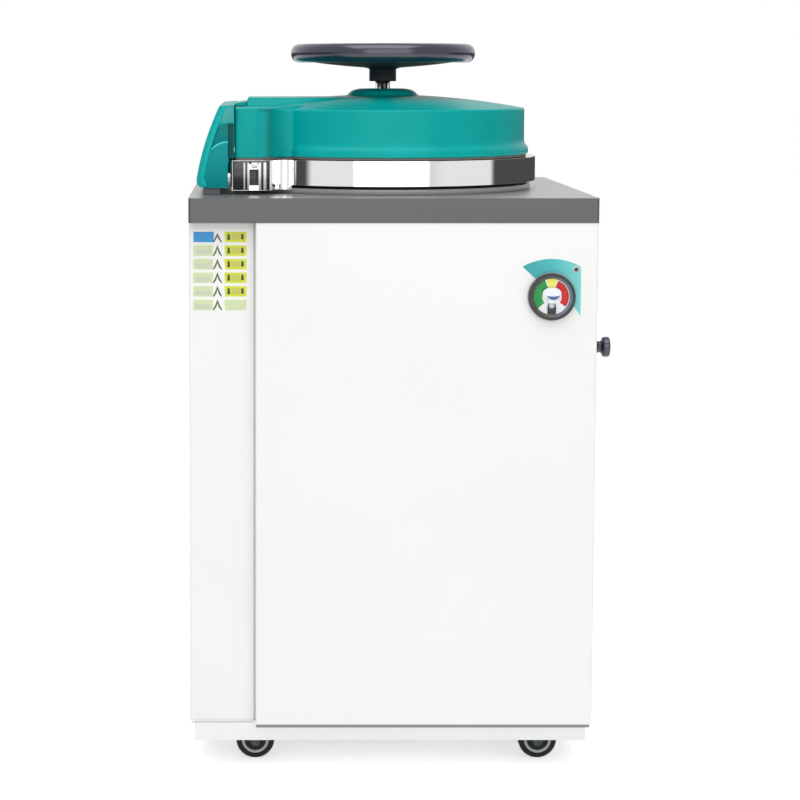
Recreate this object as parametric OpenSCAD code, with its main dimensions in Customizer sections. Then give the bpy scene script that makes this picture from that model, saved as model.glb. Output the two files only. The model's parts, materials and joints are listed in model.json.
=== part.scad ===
// Vertical autoclave with a flip-up lid, locked by a handwheel, a scroll disc and six sliding bars.
// Millimetres. Z is up from the floor, the front faces -Y, and the Z axis is the chamber's axis.

/* [Cabinet] */
// Room between the chamber's bore and the cabinet's two sides
side_room = 80; // [70:1:120]
// Room between the chamber's bore and the cabinet's front and back
depth_room = 80; // [70:1:120]
// Height of the plinth
plinth_height = 28; // [24:1:34]
// Height of the chamber's floor above the base tray
under_room = 148; // [130:1:200]
// Height of the folded top plate
plate_height = 34; // [30:1:45]
// Thickness of the painted sheet steel
sheet = 1.5; // [1:0.1:2]
// Width of the narrow strip left of the front panel
strip_width = 89; // [80:1:110]
// How far the front panel stands proud of the strip
panel_proud = 21; // [15:1:26]
// Side of the square frame tube
tube_side = 25; // [20:1:30]

/* [Chamber] */
// Inner radius of the chamber
chamber_radius = 200; // [170:1:240]
// Inner depth of the chamber below the seal
chamber_depth = 600; // [480:1:720]
// Wall of the chamber
vessel_wall = 4; // [3:0.5:5]
// Width of the locking ring outside the chamber's bore
ring_width = 26; // [25:0.5:34]
// Height of the locking ring
ring_height = 35.3; // [34:0.1:40]
// Height of the stepped collar under the locking ring
collar_height = 12.3; // [10:0.1:16]
// Gap between the basket and the chamber's bore
basket_gap = 17; // [12:1:30]
// Depth of the chamber left free below and above the basket
basket_room = 120; // [100:1:200]

/* [Lid] */
// Thickness of the lid's pressure plate
lid_plate_thickness = 8; // [6:0.5:9]
// How far the lid cover's wall lies inside the locking ring's edge
cover_inset = 16.5; // [15:0.5:20]
// Height of the lid cover's wall
cover_side = 66.5; // [62:0.5:75]
// Rise of the cover's dome above its wall
dome_rise = 19.4; // [12:0.2:24]
// Wall of the lid cover
cover_wall = 3; // [2:0.5:4]
// How far the hinge axis lies outside the locking ring
hinge_offset = 24; // [21:0.5:26]
// Height of the hinge axis above the top plate
hinge_height = 41; // [39:0.5:44]
// Radius of the hinge shaft
hinge_shaft_radius = 8; // [7:0.5:9]

/* [Lock] */
// Number of sliding lock bars
bar_count = 6; // [6:1:6]
// Width of a lock bar
bar_width = 30; // [24:1:32]
// Thickness of a lock bar
bar_thickness = 12; // [10:0.5:13]
// Travel of a lock bar
bar_travel = 12; // [8:0.5:12]
// Rise of the scroll groove in one turn
scroll_pitch = 10; // [9.5:0.1:11]
// Radius of the pin on each lock bar
pin_radius = 3; // [2.5:0.1:3.2]

/* [Handwheel] */
// Outer radius of the handwheel
wheel_radius = 136.3; // [110:0.1:150]
// Height of the handwheel's rim section
rim_height = 27; // [20:1:32]
// Width of the handwheel's rim section
rim_width = 25; // [18:1:30]
// Radius of the handwheel's shaft
shaft_radius = 11.5; // [8:0.5:12]
// Radius of the handwheel's hub
hub_radius = 20; // [17:0.5:24]

/* [Casters] */
// Radius of a caster wheel
caster_radius = 27; // [24:0.5:27]
// Width of a caster wheel's tread
caster_tread = 21; // [16:1:24]
// Distance of a wheel's axle behind its swivel axis
caster_trail = 11; // [8:0.5:14]

/* [Fittings] */
// Radius of the pressure gauge's bezel
gauge_radius = 32; // [28:0.5:36]
// Distance of the gauge's centre from the cabinet's right side
gauge_inset = 64.3; // [56:0.1:75]
// Depth of the gauge's centre below the top plate's upper face
gauge_drop = 134.5; // [130:0.5:160]
// Depth of the vent knob's axis below the top plate's upper face
vent_drop = 212.3; // [190:0.5:260]
// Radius of the vent knob
knob_radius = 14; // [11:0.5:16]

/* [Hidden] */
$fn = 64;

// Clearances and overruns
cut = 1;
seat_gap = 0.3;
running_gap = 0.05;

// Colours
white_paint = "#F4F4F4";
grey_paint = "#7A7B7E";
teal = "#00A09B";
steel = "#C4C6C8";
polished_steel = "#D6D8DA";
black_plastic = "#232428";
dark_rubber = "#1C1C1E";
silicone = "#C9C2B4";
brass = "#C6A65C";

// Heights that stack up from the floor
wheel_clear = 3.1;
caster_crown = 2.6;
caster_plate_thickness = 3;
tray_deck = 3;
caster_crown_top = 2 * caster_radius + wheel_clear + caster_crown;
caster_deck = caster_crown_top + seat_gap + caster_plate_thickness;
deck_top = caster_deck + tray_deck;
plinth_lift = deck_top - plinth_height;
chamber_floor = deck_top + under_room;
seat_z = chamber_floor + chamber_depth;
seat_rise = 2.7;
ring_bottom = seat_z - seat_rise;
ring_top = ring_bottom + ring_height;
plate_top = ring_bottom - collar_height;
plate_deck = 2.5;
panel_top = plate_top - plate_height;
panel_height = panel_top - deck_top;
seal_thickness = 3.7;
lid_plate_bottom = seat_z + seal_thickness + seat_gap;
lid_plate_top = lid_plate_bottom + lid_plate_thickness;
bar_bottom = lid_plate_top + seat_gap;
bar_top = bar_bottom + bar_thickness;

// Cabinet outline
half_width = chamber_radius + side_room;
half_depth = chamber_radius + depth_room;
face_setback = 1;
panel_front = -half_depth + face_setback;
strip_front = panel_front + panel_proud;
back_face = half_depth - sheet;
plinth_inset = 7;
plinth_half_width = half_width - plinth_inset;
plinth_front_inset = 18;
plinth_front = -half_depth + plinth_front_inset;
plinth_back = half_depth - plinth_inset;
tray_wall = 2.5;
tray_hole_share = 0.5;
seam_gap = 2.5;
seam_x = -half_width + strip_width + seam_gap / 2;
panel_edge_radius = 3;
flange = 18;

// Frame
tube_wall = 2;
post_x = plinth_half_width - tube_side;
post_front = strip_front + 2 * sheet;
post_back = plinth_back - tube_side;
post_top = plate_top - plate_deck;
bearer_rise = 84;
bearer_z = deck_top + bearer_rise;
bearer_share = 0.6;
bearer_y = bearer_share * chamber_radius;
leg_radius = 12;

// Locking ring and its square hinge end
ring_radius = chamber_radius + ring_width;
seat_width = 12;
ring_bore = chamber_radius + seat_width;
bar_play = 3;
bar_reach = ring_bore - bar_play;
groove_play = 0.6;
groove_depth = bar_travel - bar_play + cut;
end_step = 2;
end_left = ring_radius - end_step;
end_front_share = 0.8761;
end_front = end_front_share * ring_radius;
end_corner_step = 42;
end_corner_x = end_left - end_corner_step;
end_corner_radius = 26;
end_edge_radius = 4;
end_fillet_share = 0.6107;
end_fillet_x = end_fillet_share * ring_radius;
end_fillet_pull = 14;
end_turn = 70;
end_skirt = 6.5;
end_inner = 150;
collar_inset = 7;
collar_neck_height = 4.4;
collar_neck_step = 6;
seal_inner = chamber_radius + 2 * cut;
seal_groove = 2;
interlock_side = 33.5;
interlock_front = 14;
interlock_x = interlock_side - end_left;
interlock_y = interlock_front - end_front;
interlock_radius = 4;
interlock_length = 32;
interlock_window = 13;
interlock_window_height = 29;
interlock_window_depth = 8;
interlock_window_z = ring_bottom + seat_gap;

// Lid plate, lock bars and scroll
lid_play = 2.5;
lid_plate_radius = ring_bore - lid_play;
bar_inner = bar_width + seat_gap;
pin_edge_share = 2.6;
pin_inner = bar_inner + pin_edge_share * pin_radius;
pin_height = 8.6;
pin_groove_play = 0.4;
scroll_bottom = bar_top + 2 * seat_gap;
scroll_thickness = 12;
scroll_top = scroll_bottom + scroll_thickness;
scroll_groove_depth = pin_height + 2 * seat_gap;
scroll_groove_half = pin_radius + pin_groove_play;
pin_outer = pin_inner + scroll_pitch * (bar_count - 1) / bar_count + bar_travel;
scroll_radius = pin_outer + scroll_groove_half + 2 * pin_radius;
scroll_turn = 360 * bar_travel / scroll_pitch;
scroll_run_out = 10;
bar_step = 360 / bar_count;
guide_clear = 6;
guide_inner = scroll_radius + guide_clear;
guide_outer = lid_plate_radius - guide_clear;
guide_cheek = 8;
strap_inner = 140;
strap_width = 24;
strap_thickness = 3.4;
column_x = 110;
column_radius = 9;

// Hinge
hinge_x = -(ring_radius + hinge_offset);
hinge_z = plate_top + hinge_height;
beam_lift = 15.4;
beam_bottom = ring_top + beam_lift;
beam_height = 24;
beam_top = beam_bottom + beam_height;
arm_inner = 60;
arm_thickness = 15;
arm_outer = arm_inner + arm_thickness;
arm_reach = 130;
arm_boss = 13.5;
arm_heel_share = -0.6;
arm_top_left = -1;
cross_half = 45;
cross_thickness = 10;
bush_radius = 16;
bush_flange = 24;
tower_step = 8;
tower_front = end_front + tower_step;
bracket_inset = 14;
bracket_thickness = 20;
bracket_outer = tower_front - bracket_inset;
bracket_inner = bracket_outer - bracket_thickness;
bracket_boss = 14;
bracket_web = 10;
foot_half = 12;
foot_height = 9;
foot_step = 2;
foot_outer = bracket_outer + foot_step;
shaft_half = foot_outer + foot_step;

// Tower over the hinge
cheek_skin = 3;
cheek_recess = 2.5;
tower_heel = 20.7;
toe_gap = 3.2;
tower_toe = hinge_offset + end_step - toe_gap;
tower_lift = 10;
tower_drop = hinge_height - tower_lift;
tower_corner = 9;
tower_heel_rise = 12.5;
tower_bulge = 8;
tower_rise = 9.5;
tower_top = cover_side + ring_top + tower_rise;
tower_top_left = 11;
roof_gap = 0.4;
tower_wall = 3;
bevel_width = 7;
cap_height = 23.3;
cap_left = 15;
side_wall_step = 0.7;
side_wall_left = tower_toe - side_wall_step;
side_wall_bottom = 3;
lip_inset = 1.5;
lip_thickness = 3;
arch_x = 24;
arch_radius = 33;
notch_lift = 16;
notch_clear = 5;
notch_inner = bracket_inner - notch_clear;
block_height = 4;

// Lid cover
cover_radius = ring_radius - cover_inset;
cover_lift = 3.9;
cover_bottom = ring_top + cover_lift;
cover_shoulder = cover_bottom + cover_side;
bead_proud = 6;
bead_radius = cover_radius + bead_proud;
bead_height = 9;
bead_slope = 5;
cover_step_front = 2;
cover_step_left = 6;
cover_front = end_front - cover_step_front;
cover_left = end_left - cover_step_left;
cover_corner_radius = 24;
shoulder_fall = 1.5;
shoulder_radius = cover_radius - shoulder_fall;
lobe_rise = 3;
dome_sphere = (shoulder_radius * shoulder_radius + dome_rise * dome_rise) / (2 * dome_rise);
dome_top = cover_shoulder + dome_rise;
boss_foot = 51.5;
boss_rim = 45;
boss_crown = 33;
boss_height = 9;
spine_step = 10;
spine_half = arm_outer + spine_step;
spine_foot_gap = 8.5;
spine_right = boss_foot + spine_foot_gap;
spine_inset = 17;
spine_left = cover_left - spine_inset;
spine_sink = 3.8;
spine_top = dome_top - spine_sink;
window_step = 3;
window_half = spine_half + window_step;
window_clear = 4;
window_top = beam_top + window_clear;
block_step = 5;
block_half = spine_half + block_step;
block_right = -hinge_x - spine_left - sheet;
tower_roof_right = -hinge_x - cover_left - roof_gap;
stud_radius = 7;
stud_x = 90;

// Handwheel
hub_lift = 19.6;
hub_bottom = dome_top + hub_lift;
hub_height = 18.5;
hub_top = hub_bottom + hub_height;
rim_lift = 22.9;
rim_centre_z = hub_top + rim_lift;
rim_round_share = 0.42;
rim_centre = wheel_radius - rim_width / 2;
web_thickness = 7;
wheel_cap = 26;
wheel_cap_height = 12;
shaft_end = 3;

// Gauge
gauge_x = half_width - gauge_inset;
gauge_z = plate_top - gauge_drop;
bezel_depth = 8;
bezel_width = 4;
can_step = 3;
gauge_can = gauge_radius - can_step;
can_depth = 34;
dial_radius = gauge_radius - bezel_width;
dial_lift = 1.5;
glass_thickness = 1.5;
glass_lift = 5.5;
needle_lift = 3.2;
needle_thickness = 0.8;
needle_length = 18;
needle_tail = 7;
needle_width = 2.4;
needle_hub = 3;
needle_pin = 1.2;
needle_rest = 180;
needle_pin_hole = needle_pin + running_gap;
gauge_pipe_radius = 3;
gauge_fitting = 8;
gauge_stub = 6;
gauge_stub_length = 12;
nozzle_drop = 30;
nozzle_z = panel_top - nozzle_drop;

// Decal round the gauge, label and lamp
film = 0.4;
decal_left_x = -40.1;
decal_left_z = 41.4;
decal_right = 40;
decal_arc_drop = -28.7;
decal_arc_radius = 80.3;
decal_bottom = -26.5;
decal_bezel_clear = 1;
decal_tip_x = 31;
decal_tip_z = -14;
decal_edge_x = -21.7;
decal_edge_z = 24.4;
lamp_x = 33.3;
lamp_z = 37.2;
lamp_radius = 3.2;
lamp_proud = 1.6;
lamp_tail = 10;
label_inset = 6;
label_width = 74;
label_left = label_inset - half_width;
label_right = label_left + label_width;
label_top_drop = 43;
label_height = 114;

// Vent line and knob
pipe_radius = 6;
vent_post_gap = 1;
vent_x = post_x - pipe_radius - vent_post_gap;
vent_inset = 65;
vent_y = vent_inset - half_depth;
vent_z = plate_top - vent_drop;
pipe_bend = 18;
valve_radius = 15;
valve_half = 20;
valve_bonnet = 9;
knob_stem = 5;
knob_neck = 15;
knob_grip = 11;
knob_waist = 8;
knob_clear = 0.6;
knob_flare = 2;
exhaust_rise = 39;
exhaust_z = deck_top + exhaust_rise;
exhaust_end = 22;
barb_radius = 7.5;

// Drain
drain_radius = 9;
drain_rise = 46;
drain_z = deck_top + drain_rise;
drain_bend = 24;
drain_body = 14;
drain_body_half = 18;
drain_nut = 17;
drain_spout = 16;
drain_stem = 4;
drain_lever_length = 62;
drain_lever_width = 12;
drain_lever_thickness = 3;
drain_lever_gap = 8;
drain_wall_gap = 2;
drain_gland = 7;
drain_bore = 7;
drain_body_y = half_depth + drain_body_half + drain_wall_gap;

// Other fittings
safety_x = -40;
safety_radius = 14;
safety_hexagon = 16;
safety_neck = 8;
safety_step = 22;
safety_start = chamber_radius + vessel_wall + safety_step;
control_inset = 26;
control_left = -half_width + control_inset;
control_clear = 2.5;
control_height = 240;
switch_inset = 68;
switch_rise = 114;
switch_x = switch_inset - half_width;
switch_z = deck_top + switch_rise;
switch_width = 22;
switch_height = 30;
switch_depth = 24;
switch_bezel = 2.5;
switch_bezel_margin = 3;
rocker_tilt = 8;
rocker_play = 1.5;
rocker_depth = 16;
rocker_pin = 1.5;
rocker_pin_half = switch_width / 2 - sheet;
gland_rise = 52;
gland_x = switch_x;
gland_z = deck_top + gland_rise;
gland_radius = 11;
gland_bore = 4.5;
gland_length = 20;
gland_thread = 9;
gland_nose = 8;
screw_head = 4.5;
screw_head_height = 2.2;
screw_shank = 2;
screw_shank_length = 12;
screw_margin = 12;
screw_rows = 4;

// Heater, rack and basket
heater_share = 0.6;
heater_ring = heater_share * chamber_radius;
heater_tube = 6;
heater_sleeve = 7;
heater_lift = 22;
heater_leg_angle = 12;
heater_leg_below = 28;
heater_nut = 11;
heater_nut_height = 8;
rack_clear = 8;
rack_radius = chamber_radius - rack_clear;
rack_lift = 46;
rack_thickness = 2;
rack_hole = 7;
rack_rings = 3;
rack_first_ring = 50;
rack_ring_step = 45;
rack_foot = 5;
rack_foot_share = 0.8;
rack_foot_ring = rack_foot_share * chamber_radius;
basket_radius = chamber_radius - basket_gap;
basket_height = chamber_depth - basket_room;
basket_wall = 2;
basket_rim = 5;
basket_hole = 6;
basket_grip_width = 60;
basket_grip_height = 16;
basket_grip_lift = 26;
jacket_thickness = 32;
jacket_lift = 16;
jacket_drop = 35;
jacket_radius = chamber_radius + vessel_wall + seat_gap + jacket_thickness;
jacket_bottom = chamber_floor + jacket_lift;
jacket_top = nozzle_z - jacket_drop;

// Casters
caster_side_inset = 73;
caster_front_inset = 47;
caster_x = plinth_half_width - caster_side_inset;
caster_y = -plinth_front - caster_front_inset;
caster_plate_side = 56;
caster_crown_radius = 19;
fork_leg = 2.5;
fork_leg_width = 16;
fork_side_gap = 1;
caster_axle = 4;
caster_king_pin = 4;
caster_hub = 15;
caster_hub_side = 0.6;
tread_fall = 3;
tread_shoulder = 4;

// Points on an arc about a centre, from one angle to another
function arc_points(centre_x, centre_y, radius, from, to, steps) = [
    for (i = [0:steps]) let (a = from + (to - from) * i / steps)
        [centre_x + radius * cos(a), centre_y + radius * sin(a)]
];

// Points on a quadratic curve through its ends, drawn towards its middle point
function curve_points(first, middle, last, steps) = [
    for (i = [0:steps]) let (t = i / steps)
        (1 - t) * (1 - t) * first + 2 * t * (1 - t) * middle + t * t * last
];

// A tube along Z with a true bore
module ring(outer, inner, height) {
    difference() {
        cylinder(r = outer, h = height);
        translate([0, 0, -cut]) cylinder(r = inner, h = height + 2 * cut);
    }
}

// A cylinder along +Y from the origin
module along_y(radius, length) {
    rotate([-90, 0, 0]) cylinder(r = radius, h = length);
}

// A cylinder along +X from the origin
module along_x(radius, length) {
    rotate([0, 90, 0]) cylinder(r = radius, h = length);
}

// A flat outline with true round corners
module round_rect(width, depth, radius) {
    square([width - 2 * radius, depth], center = true);
    square([width, depth - 2 * radius], center = true);
    for (sx = [-1, 1], sy = [-1, 1]) {
        translate([sx * (width / 2 - radius), sy * (depth / 2 - radius)]) circle(r = radius);
    }
}

// A block between two corners
module block(low, high) {
    translate(low) cube(high - low);
}

// Half of the square hinge end: flat left and front faces, a round corner and a hollow fillet
function end_half(left, front, corner, radius) = let (
    corner_y = -front + corner,
    tangent_y = -sqrt(radius * radius - end_fillet_x * end_fillet_x),
    pull_x = end_fillet_pull * -tangent_y / radius,
    pull_y = end_fillet_pull * end_fillet_x / radius,
    last = [-end_fillet_x, tangent_y],
    turn = arc_points(-end_corner_x, corner_y, corner, -90, end_turn - 90, 8)
) concat(
    [[-left, 0]],
    arc_points(-left + end_edge_radius, -front + end_edge_radius, end_edge_radius, 180, 270, 4),
    turn,
    curve_points(turn[len(turn) - 1], last + [-pull_x, pull_y], last, 6),
    [[-end_inner / 2, 0]]
);

module end_outline(left, front, corner, radius) {
    for (side = [0, 1]) mirror([0, side, 0]) polygon(end_half(left, front, corner, radius));
}

// Base and frame

module base_tray() {
    color(white_paint) difference() {
        block([-plinth_half_width, plinth_front, plinth_lift], [plinth_half_width, plinth_back, deck_top]);
        block(
            [-plinth_half_width + tray_wall, plinth_front + tray_wall, plinth_lift - cut],
            [plinth_half_width - tray_wall, plinth_back - tray_wall, deck_top - tray_deck]
        );
        translate([0, 0, plinth_lift])
            cylinder(r = tray_hole_share * chamber_radius, h = plinth_height + cut);
    }
}

module frame_tube(size) {
    difference() {
        cube(size);
        translate([tube_wall, tube_wall, -cut])
            cube([size[0] - 2 * tube_wall, size[1] - 2 * tube_wall, size[2] + 2 * cut]);
    }
}

module inner_frame() {
    rail_gap = post_back - post_front - tube_side;
    color(steel) difference() {
        union() {
            for (sx = [0, 1]) mirror([sx, 0, 0]) {
                for (y = [post_front, post_back]) {
                    translate([post_x, y, deck_top])
                        frame_tube([tube_side, tube_side, post_top - deck_top]);
                }
                translate([post_x, post_front + tube_side, bearer_z])
                    cube([tube_side, rail_gap, tube_side]);
            }
            for (sy = [-1, 1]) {
                translate([-post_x, sy * bearer_y - tube_side / 2, bearer_z])
                    cube([2 * post_x, tube_side, tube_side]);
            }
        }
        for (p = screw_places()) translate([p[0], plinth_back - tube_wall - cut, p[1]])
            along_y(screw_shank, tube_wall + 2 * cut);
    }
}

// Cabinet skin

module side_skin() {
    block([half_width - sheet, strip_front + sheet, deck_top], [half_width, back_face, panel_top]);
    block(
        [post_x, strip_front + sheet, deck_top],
        [half_width, strip_front + 2 * sheet, panel_top]
    );
    block(
        [post_x + flange / 2, post_front + tube_side + seat_gap, deck_top],
        [half_width, post_back - seat_gap, deck_top + sheet]
    );
}

module left_panel() {
    color(white_paint) mirror([1, 0, 0]) side_skin();
}

module right_panel() {
    color(white_paint) difference() {
        side_skin();
        translate([half_width - sheet - cut, vent_y, vent_z])
            along_x(knob_stem + knob_clear, sheet + 2 * cut);
    }
}

module back_panel() {
    hole_start = back_face - cut;
    hole_depth = sheet + 2 * cut;
    color(white_paint) difference() {
        union() {
            block([-half_width, back_face, deck_top], [half_width, half_depth, panel_top]);
            block(
                [-post_x + seat_gap, plinth_back - flange, deck_top],
                [post_x - seat_gap, back_face, deck_top + sheet]
            );
        }
        translate([0, hole_start, drain_z]) along_y(drain_radius + knob_clear, hole_depth);
        translate([vent_x, hole_start, exhaust_z]) along_y(pipe_radius + knob_clear, hole_depth);
        translate([gland_x, hole_start, gland_z]) along_y(gland_thread, hole_depth);
        translate([safety_x, hole_start, nozzle_z]) along_y(safety_neck + knob_clear, hole_depth);
        block(
            [switch_x - switch_width / 2, hole_start, switch_z - switch_height / 2],
            [switch_x + switch_width / 2, hole_start + hole_depth, switch_z + switch_height / 2]
        );
        for (p = screw_places()) translate([p[0], hole_start, p[1]]) along_y(screw_shank, hole_depth);
    }
}

function screw_places() = [
    for (sx = [-1, 1], i = [0:screw_rows - 1])
        [
            sx * (post_x + tube_side / 2),
            deck_top + screw_margin + (panel_height - 2 * screw_margin) * i / (screw_rows - 1)
        ]
];

module panel_screws() {
    color(steel) for (p = screw_places()) translate([p[0], half_depth + seat_gap, p[1]]) {
        along_y(screw_head, screw_head_height);
        translate([0, -screw_shank_length, 0]) along_y(screw_shank - running_gap, screw_shank_length);
    }
}

// A folded pan that faces -Y, open at the back
module pan(left, right, front, back, low, high) {
    radius = panel_edge_radius;
    difference() {
        union() {
            block([left + radius, front, low], [right - radius, back, high]);
            block([left, front + radius, low], [right, back, high]);
            for (x = [left + radius, right - radius]) {
                translate([x, front + radius, low]) cylinder(r = radius, h = high - low);
            }
        }
        block([left + sheet, front + sheet, low + sheet], [right - sheet, back + cut, high - sheet]);
    }
}

module front_panel() {
    color(white_paint) difference() {
        pan(
            seam_x + seam_gap / 2, half_width - face_setback, panel_front,
            strip_front + sheet - seat_gap, deck_top, panel_top
        );
        translate([gauge_x, panel_front - cut, gauge_z]) along_y(gauge_can + knob_clear, panel_proud);
        translate([gauge_x + lamp_x, panel_front - cut, gauge_z + lamp_z])
            along_y(lamp_radius - cut, panel_proud);
    }
}

module front_strip() {
    right = seam_x - seam_gap / 2;
    color(white_paint) {
        block([-half_width + face_setback, strip_front, deck_top], [right, strip_front + sheet, panel_top]);
        block([right - sheet, strip_front, deck_top], [right, strip_front + flange, panel_top]);
        block([-post_x + seat_gap, strip_front, deck_top], [right, strip_front + flange, deck_top + sheet]);
    }
}

module top_plate() {
    corner = 4;
    color(grey_paint) difference() {
        translate([0, 0, panel_top])
            linear_extrude(height = plate_height) round_rect(2 * half_width, 2 * half_depth, corner);
        block(
            [-half_width + sheet, -half_depth + sheet, panel_top - cut],
            [half_width - sheet, half_depth - sheet, plate_top - plate_deck]
        );
        translate([0, 0, plate_top - plate_deck - cut])
            cylinder(r = chamber_radius + vessel_wall + knob_clear, h = plate_deck + 2 * cut);
    }
}

module step_label() {
    top = plate_top - label_top_drop;
    color("#DDE9A8") block(
        [label_left, strip_front - film, top - label_height],
        [label_right, strip_front, top]
    );
}

// Chamber

module vessel() {
    outer = chamber_radius + vessel_wall;
    knuckle = 30;
    color(steel) {
        difference() {
            translate([0, 0, chamber_floor - vessel_wall]) rotate_extrude($fn = 96) difference() {
                union() {
                    square([outer - knuckle, knuckle]);
                    translate([0, knuckle]) square([outer, seat_z - chamber_floor + vessel_wall - knuckle]);
                    intersection() {
                        translate([outer - knuckle, knuckle]) circle(r = knuckle);
                        square([outer, knuckle]);
                    }
                }
                translate([0, vessel_wall + knuckle])
                    square([chamber_radius, seat_z - chamber_floor]);
                translate([0, vessel_wall]) square([chamber_radius - knuckle, knuckle + cut]);
                intersection() {
                    translate([chamber_radius - knuckle, vessel_wall + knuckle]) circle(r = knuckle);
                    square([chamber_radius, vessel_wall + knuckle + cut]);
                }
            }
            for (a = [-heater_leg_angle, heater_leg_angle]) rotate([0, 0, a])
                translate([heater_ring, 0, chamber_floor - vessel_wall - cut])
                    cylinder(r = heater_sleeve + running_gap, h = vessel_wall + 2 * cut);
            translate([0, 0, chamber_floor - vessel_wall - cut])
                cylinder(r = drain_bore, h = vessel_wall + 2 * cut);
        }
        for (sx = [-1, 1], sy = [-1, 1]) {
            translate([sx * bearer_y, sy * bearer_y, bearer_z + tube_side])
                cylinder(r = leg_radius, h = chamber_floor - bearer_z - tube_side - vessel_wall / 2);
        }
    }
}

module locking_ring() {
    bore = chamber_radius + vessel_wall + seat_gap;
    color(polished_steel) difference() {
        union() {
            translate([0, 0, ring_bottom]) cylinder(r = ring_radius, h = ring_height, $fn = 128);
            translate([0, 0, ring_bottom - end_skirt]) linear_extrude(height = ring_height + end_skirt)
                difference() {
                    end_outline(end_left, end_front, end_corner_radius, ring_radius - seat_gap);
                    circle(r = ring_radius - collar_inset + seat_gap);
                }
        }
        translate([0, 0, ring_bottom - cut]) cylinder(r = bore, h = ring_height + 2 * cut);
        translate([0, 0, seat_z]) cylinder(r = ring_bore, h = ring_height);
        translate([0, 0, bar_bottom - groove_play])
            cylinder(r = ring_bore + groove_depth, h = bar_thickness + 2 * groove_play);
        translate([interlock_x, interlock_y, ring_bottom - end_skirt - cut])
            cylinder(r = interlock_radius + running_gap, h = ring_height + end_skirt + 2 * cut, $fn = 32);
        block(
            [interlock_x - interlock_window / 2, -end_front - cut, interlock_window_z],
            [
                interlock_x + interlock_window / 2, -end_front + interlock_window_depth,
                interlock_window_z + interlock_window_height
            ]
        );
    }
}

module interlock_pin() {
    color(polished_steel) translate([interlock_x, interlock_y, ring_top - seat_gap - interlock_length])
        cylinder(r = interlock_radius, h = interlock_length, $fn = 32);
}

// The collar stands on the top plate; its narrower neck leaves a dark groove under the ring
module ring_collar() {
    outer = ring_radius - collar_inset;
    bore = chamber_radius + vessel_wall + seat_gap;
    color(grey_paint) {
        translate([0, 0, plate_top]) ring(outer, bore, collar_height - collar_neck_height);
        translate([0, 0, plate_top]) ring(outer - collar_neck_step, bore, collar_height);
    }
}

module lid_seal() {
    groove = (seal_inner + ring_bore) / 2;
    color(silicone) translate([0, 0, seat_z]) difference() {
        ring(ring_bore - seat_gap, seal_inner, seal_thickness);
        translate([0, 0, seal_thickness - cut]) ring(groove, groove - seal_groove, 2 * cut);
    }
}

module insulation_jacket() {
    color("#D9D3BE") translate([0, 0, jacket_bottom])
        ring(jacket_radius, jacket_radius - jacket_thickness, jacket_top - jacket_bottom);
}

module heater() {
    ring_z = chamber_floor + heater_lift;
    leg_bottom = chamber_floor - vessel_wall - heater_leg_below;
    color(steel) {
        translate([0, 0, ring_z]) rotate([0, 0, heater_leg_angle])
            rotate_extrude(angle = 360 - 2 * heater_leg_angle, $fn = 96)
                translate([heater_ring, 0]) circle(r = heater_tube, $fn = 24);
        for (a = [-heater_leg_angle, heater_leg_angle]) rotate([0, 0, a]) {
            translate([heater_ring, 0, leg_bottom])
                cylinder(r = heater_sleeve, h = ring_z + heater_sleeve - leg_bottom);
            translate([heater_ring, 0, chamber_floor - vessel_wall - heater_nut_height])
                cylinder(r = heater_nut, h = heater_nut_height, $fn = 6);
        }
    }
}

module support_rack() {
    color(steel) {
        difference() {
            translate([0, 0, chamber_floor + rack_lift]) cylinder(r = rack_radius, h = rack_thickness);
            for (k = [1:rack_rings]) let (n = bar_count * k) for (i = [0:n - 1]) {
                ring_r = rack_first_ring + (k - 1) * rack_ring_step;
                rotate([0, 0, 360 * i / n]) translate([ring_r, 0, chamber_floor + rack_lift - cut])
                        cylinder(r = rack_hole, h = rack_thickness + 2 * cut, $fn = 24);
            }
        }
        for (i = [0:2]) rotate([0, 0, 2 * bar_step * i + bar_step / 2])
            translate([rack_foot_ring, 0, chamber_floor])
                cylinder(r = rack_foot, h = rack_lift + rack_thickness / 2);
    }
}

module basket() {
    low = chamber_floor + rack_lift + rack_thickness;
    high = low + basket_height;
    color(polished_steel) {
        difference() {
            union() {
                translate([0, 0, low]) cylinder(r = basket_radius, h = basket_height);
                translate([0, 0, high - basket_rim])
                    cylinder(r = basket_radius + basket_wall, h = basket_rim);
            }
            translate([0, 0, low + basket_wall])
                cylinder(r = basket_radius - basket_wall, h = basket_height);
            for (i = [0:bar_count - 1]) rotate([0, 0, bar_step * i])
                translate([basket_radius / 2, 0, low - cut])
                    cylinder(r = basket_hole, h = basket_wall + 2 * cut, $fn = 24);
        }
        for (sy = [0, 1]) mirror([0, sy, 0]) difference() {
            block(
                [-basket_grip_width / 2, basket_radius - 2 * basket_wall, high - basket_rim],
                [basket_grip_width / 2, basket_radius - basket_wall / 2, high + basket_grip_lift]
            );
            block(
                [basket_rim - basket_grip_width / 2, basket_radius - 3 * basket_wall, high + basket_rim],
                [
                    basket_grip_width / 2 - basket_rim, basket_radius + basket_wall,
                    high + basket_rim + basket_grip_height
                ]
            );
        }
    }
}

// Pipes and fittings

// A quarter bend from the X axis's direction down to -Z, its two ends one bend radius away
module pipe_bend_down(radius, bend) {
    translate([-bend, 0, -bend]) rotate([90, 0, 0])
        rotate_extrude(angle = 90, $fn = 48) translate([bend, 0]) circle(r = radius, $fn = 32);
}

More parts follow.
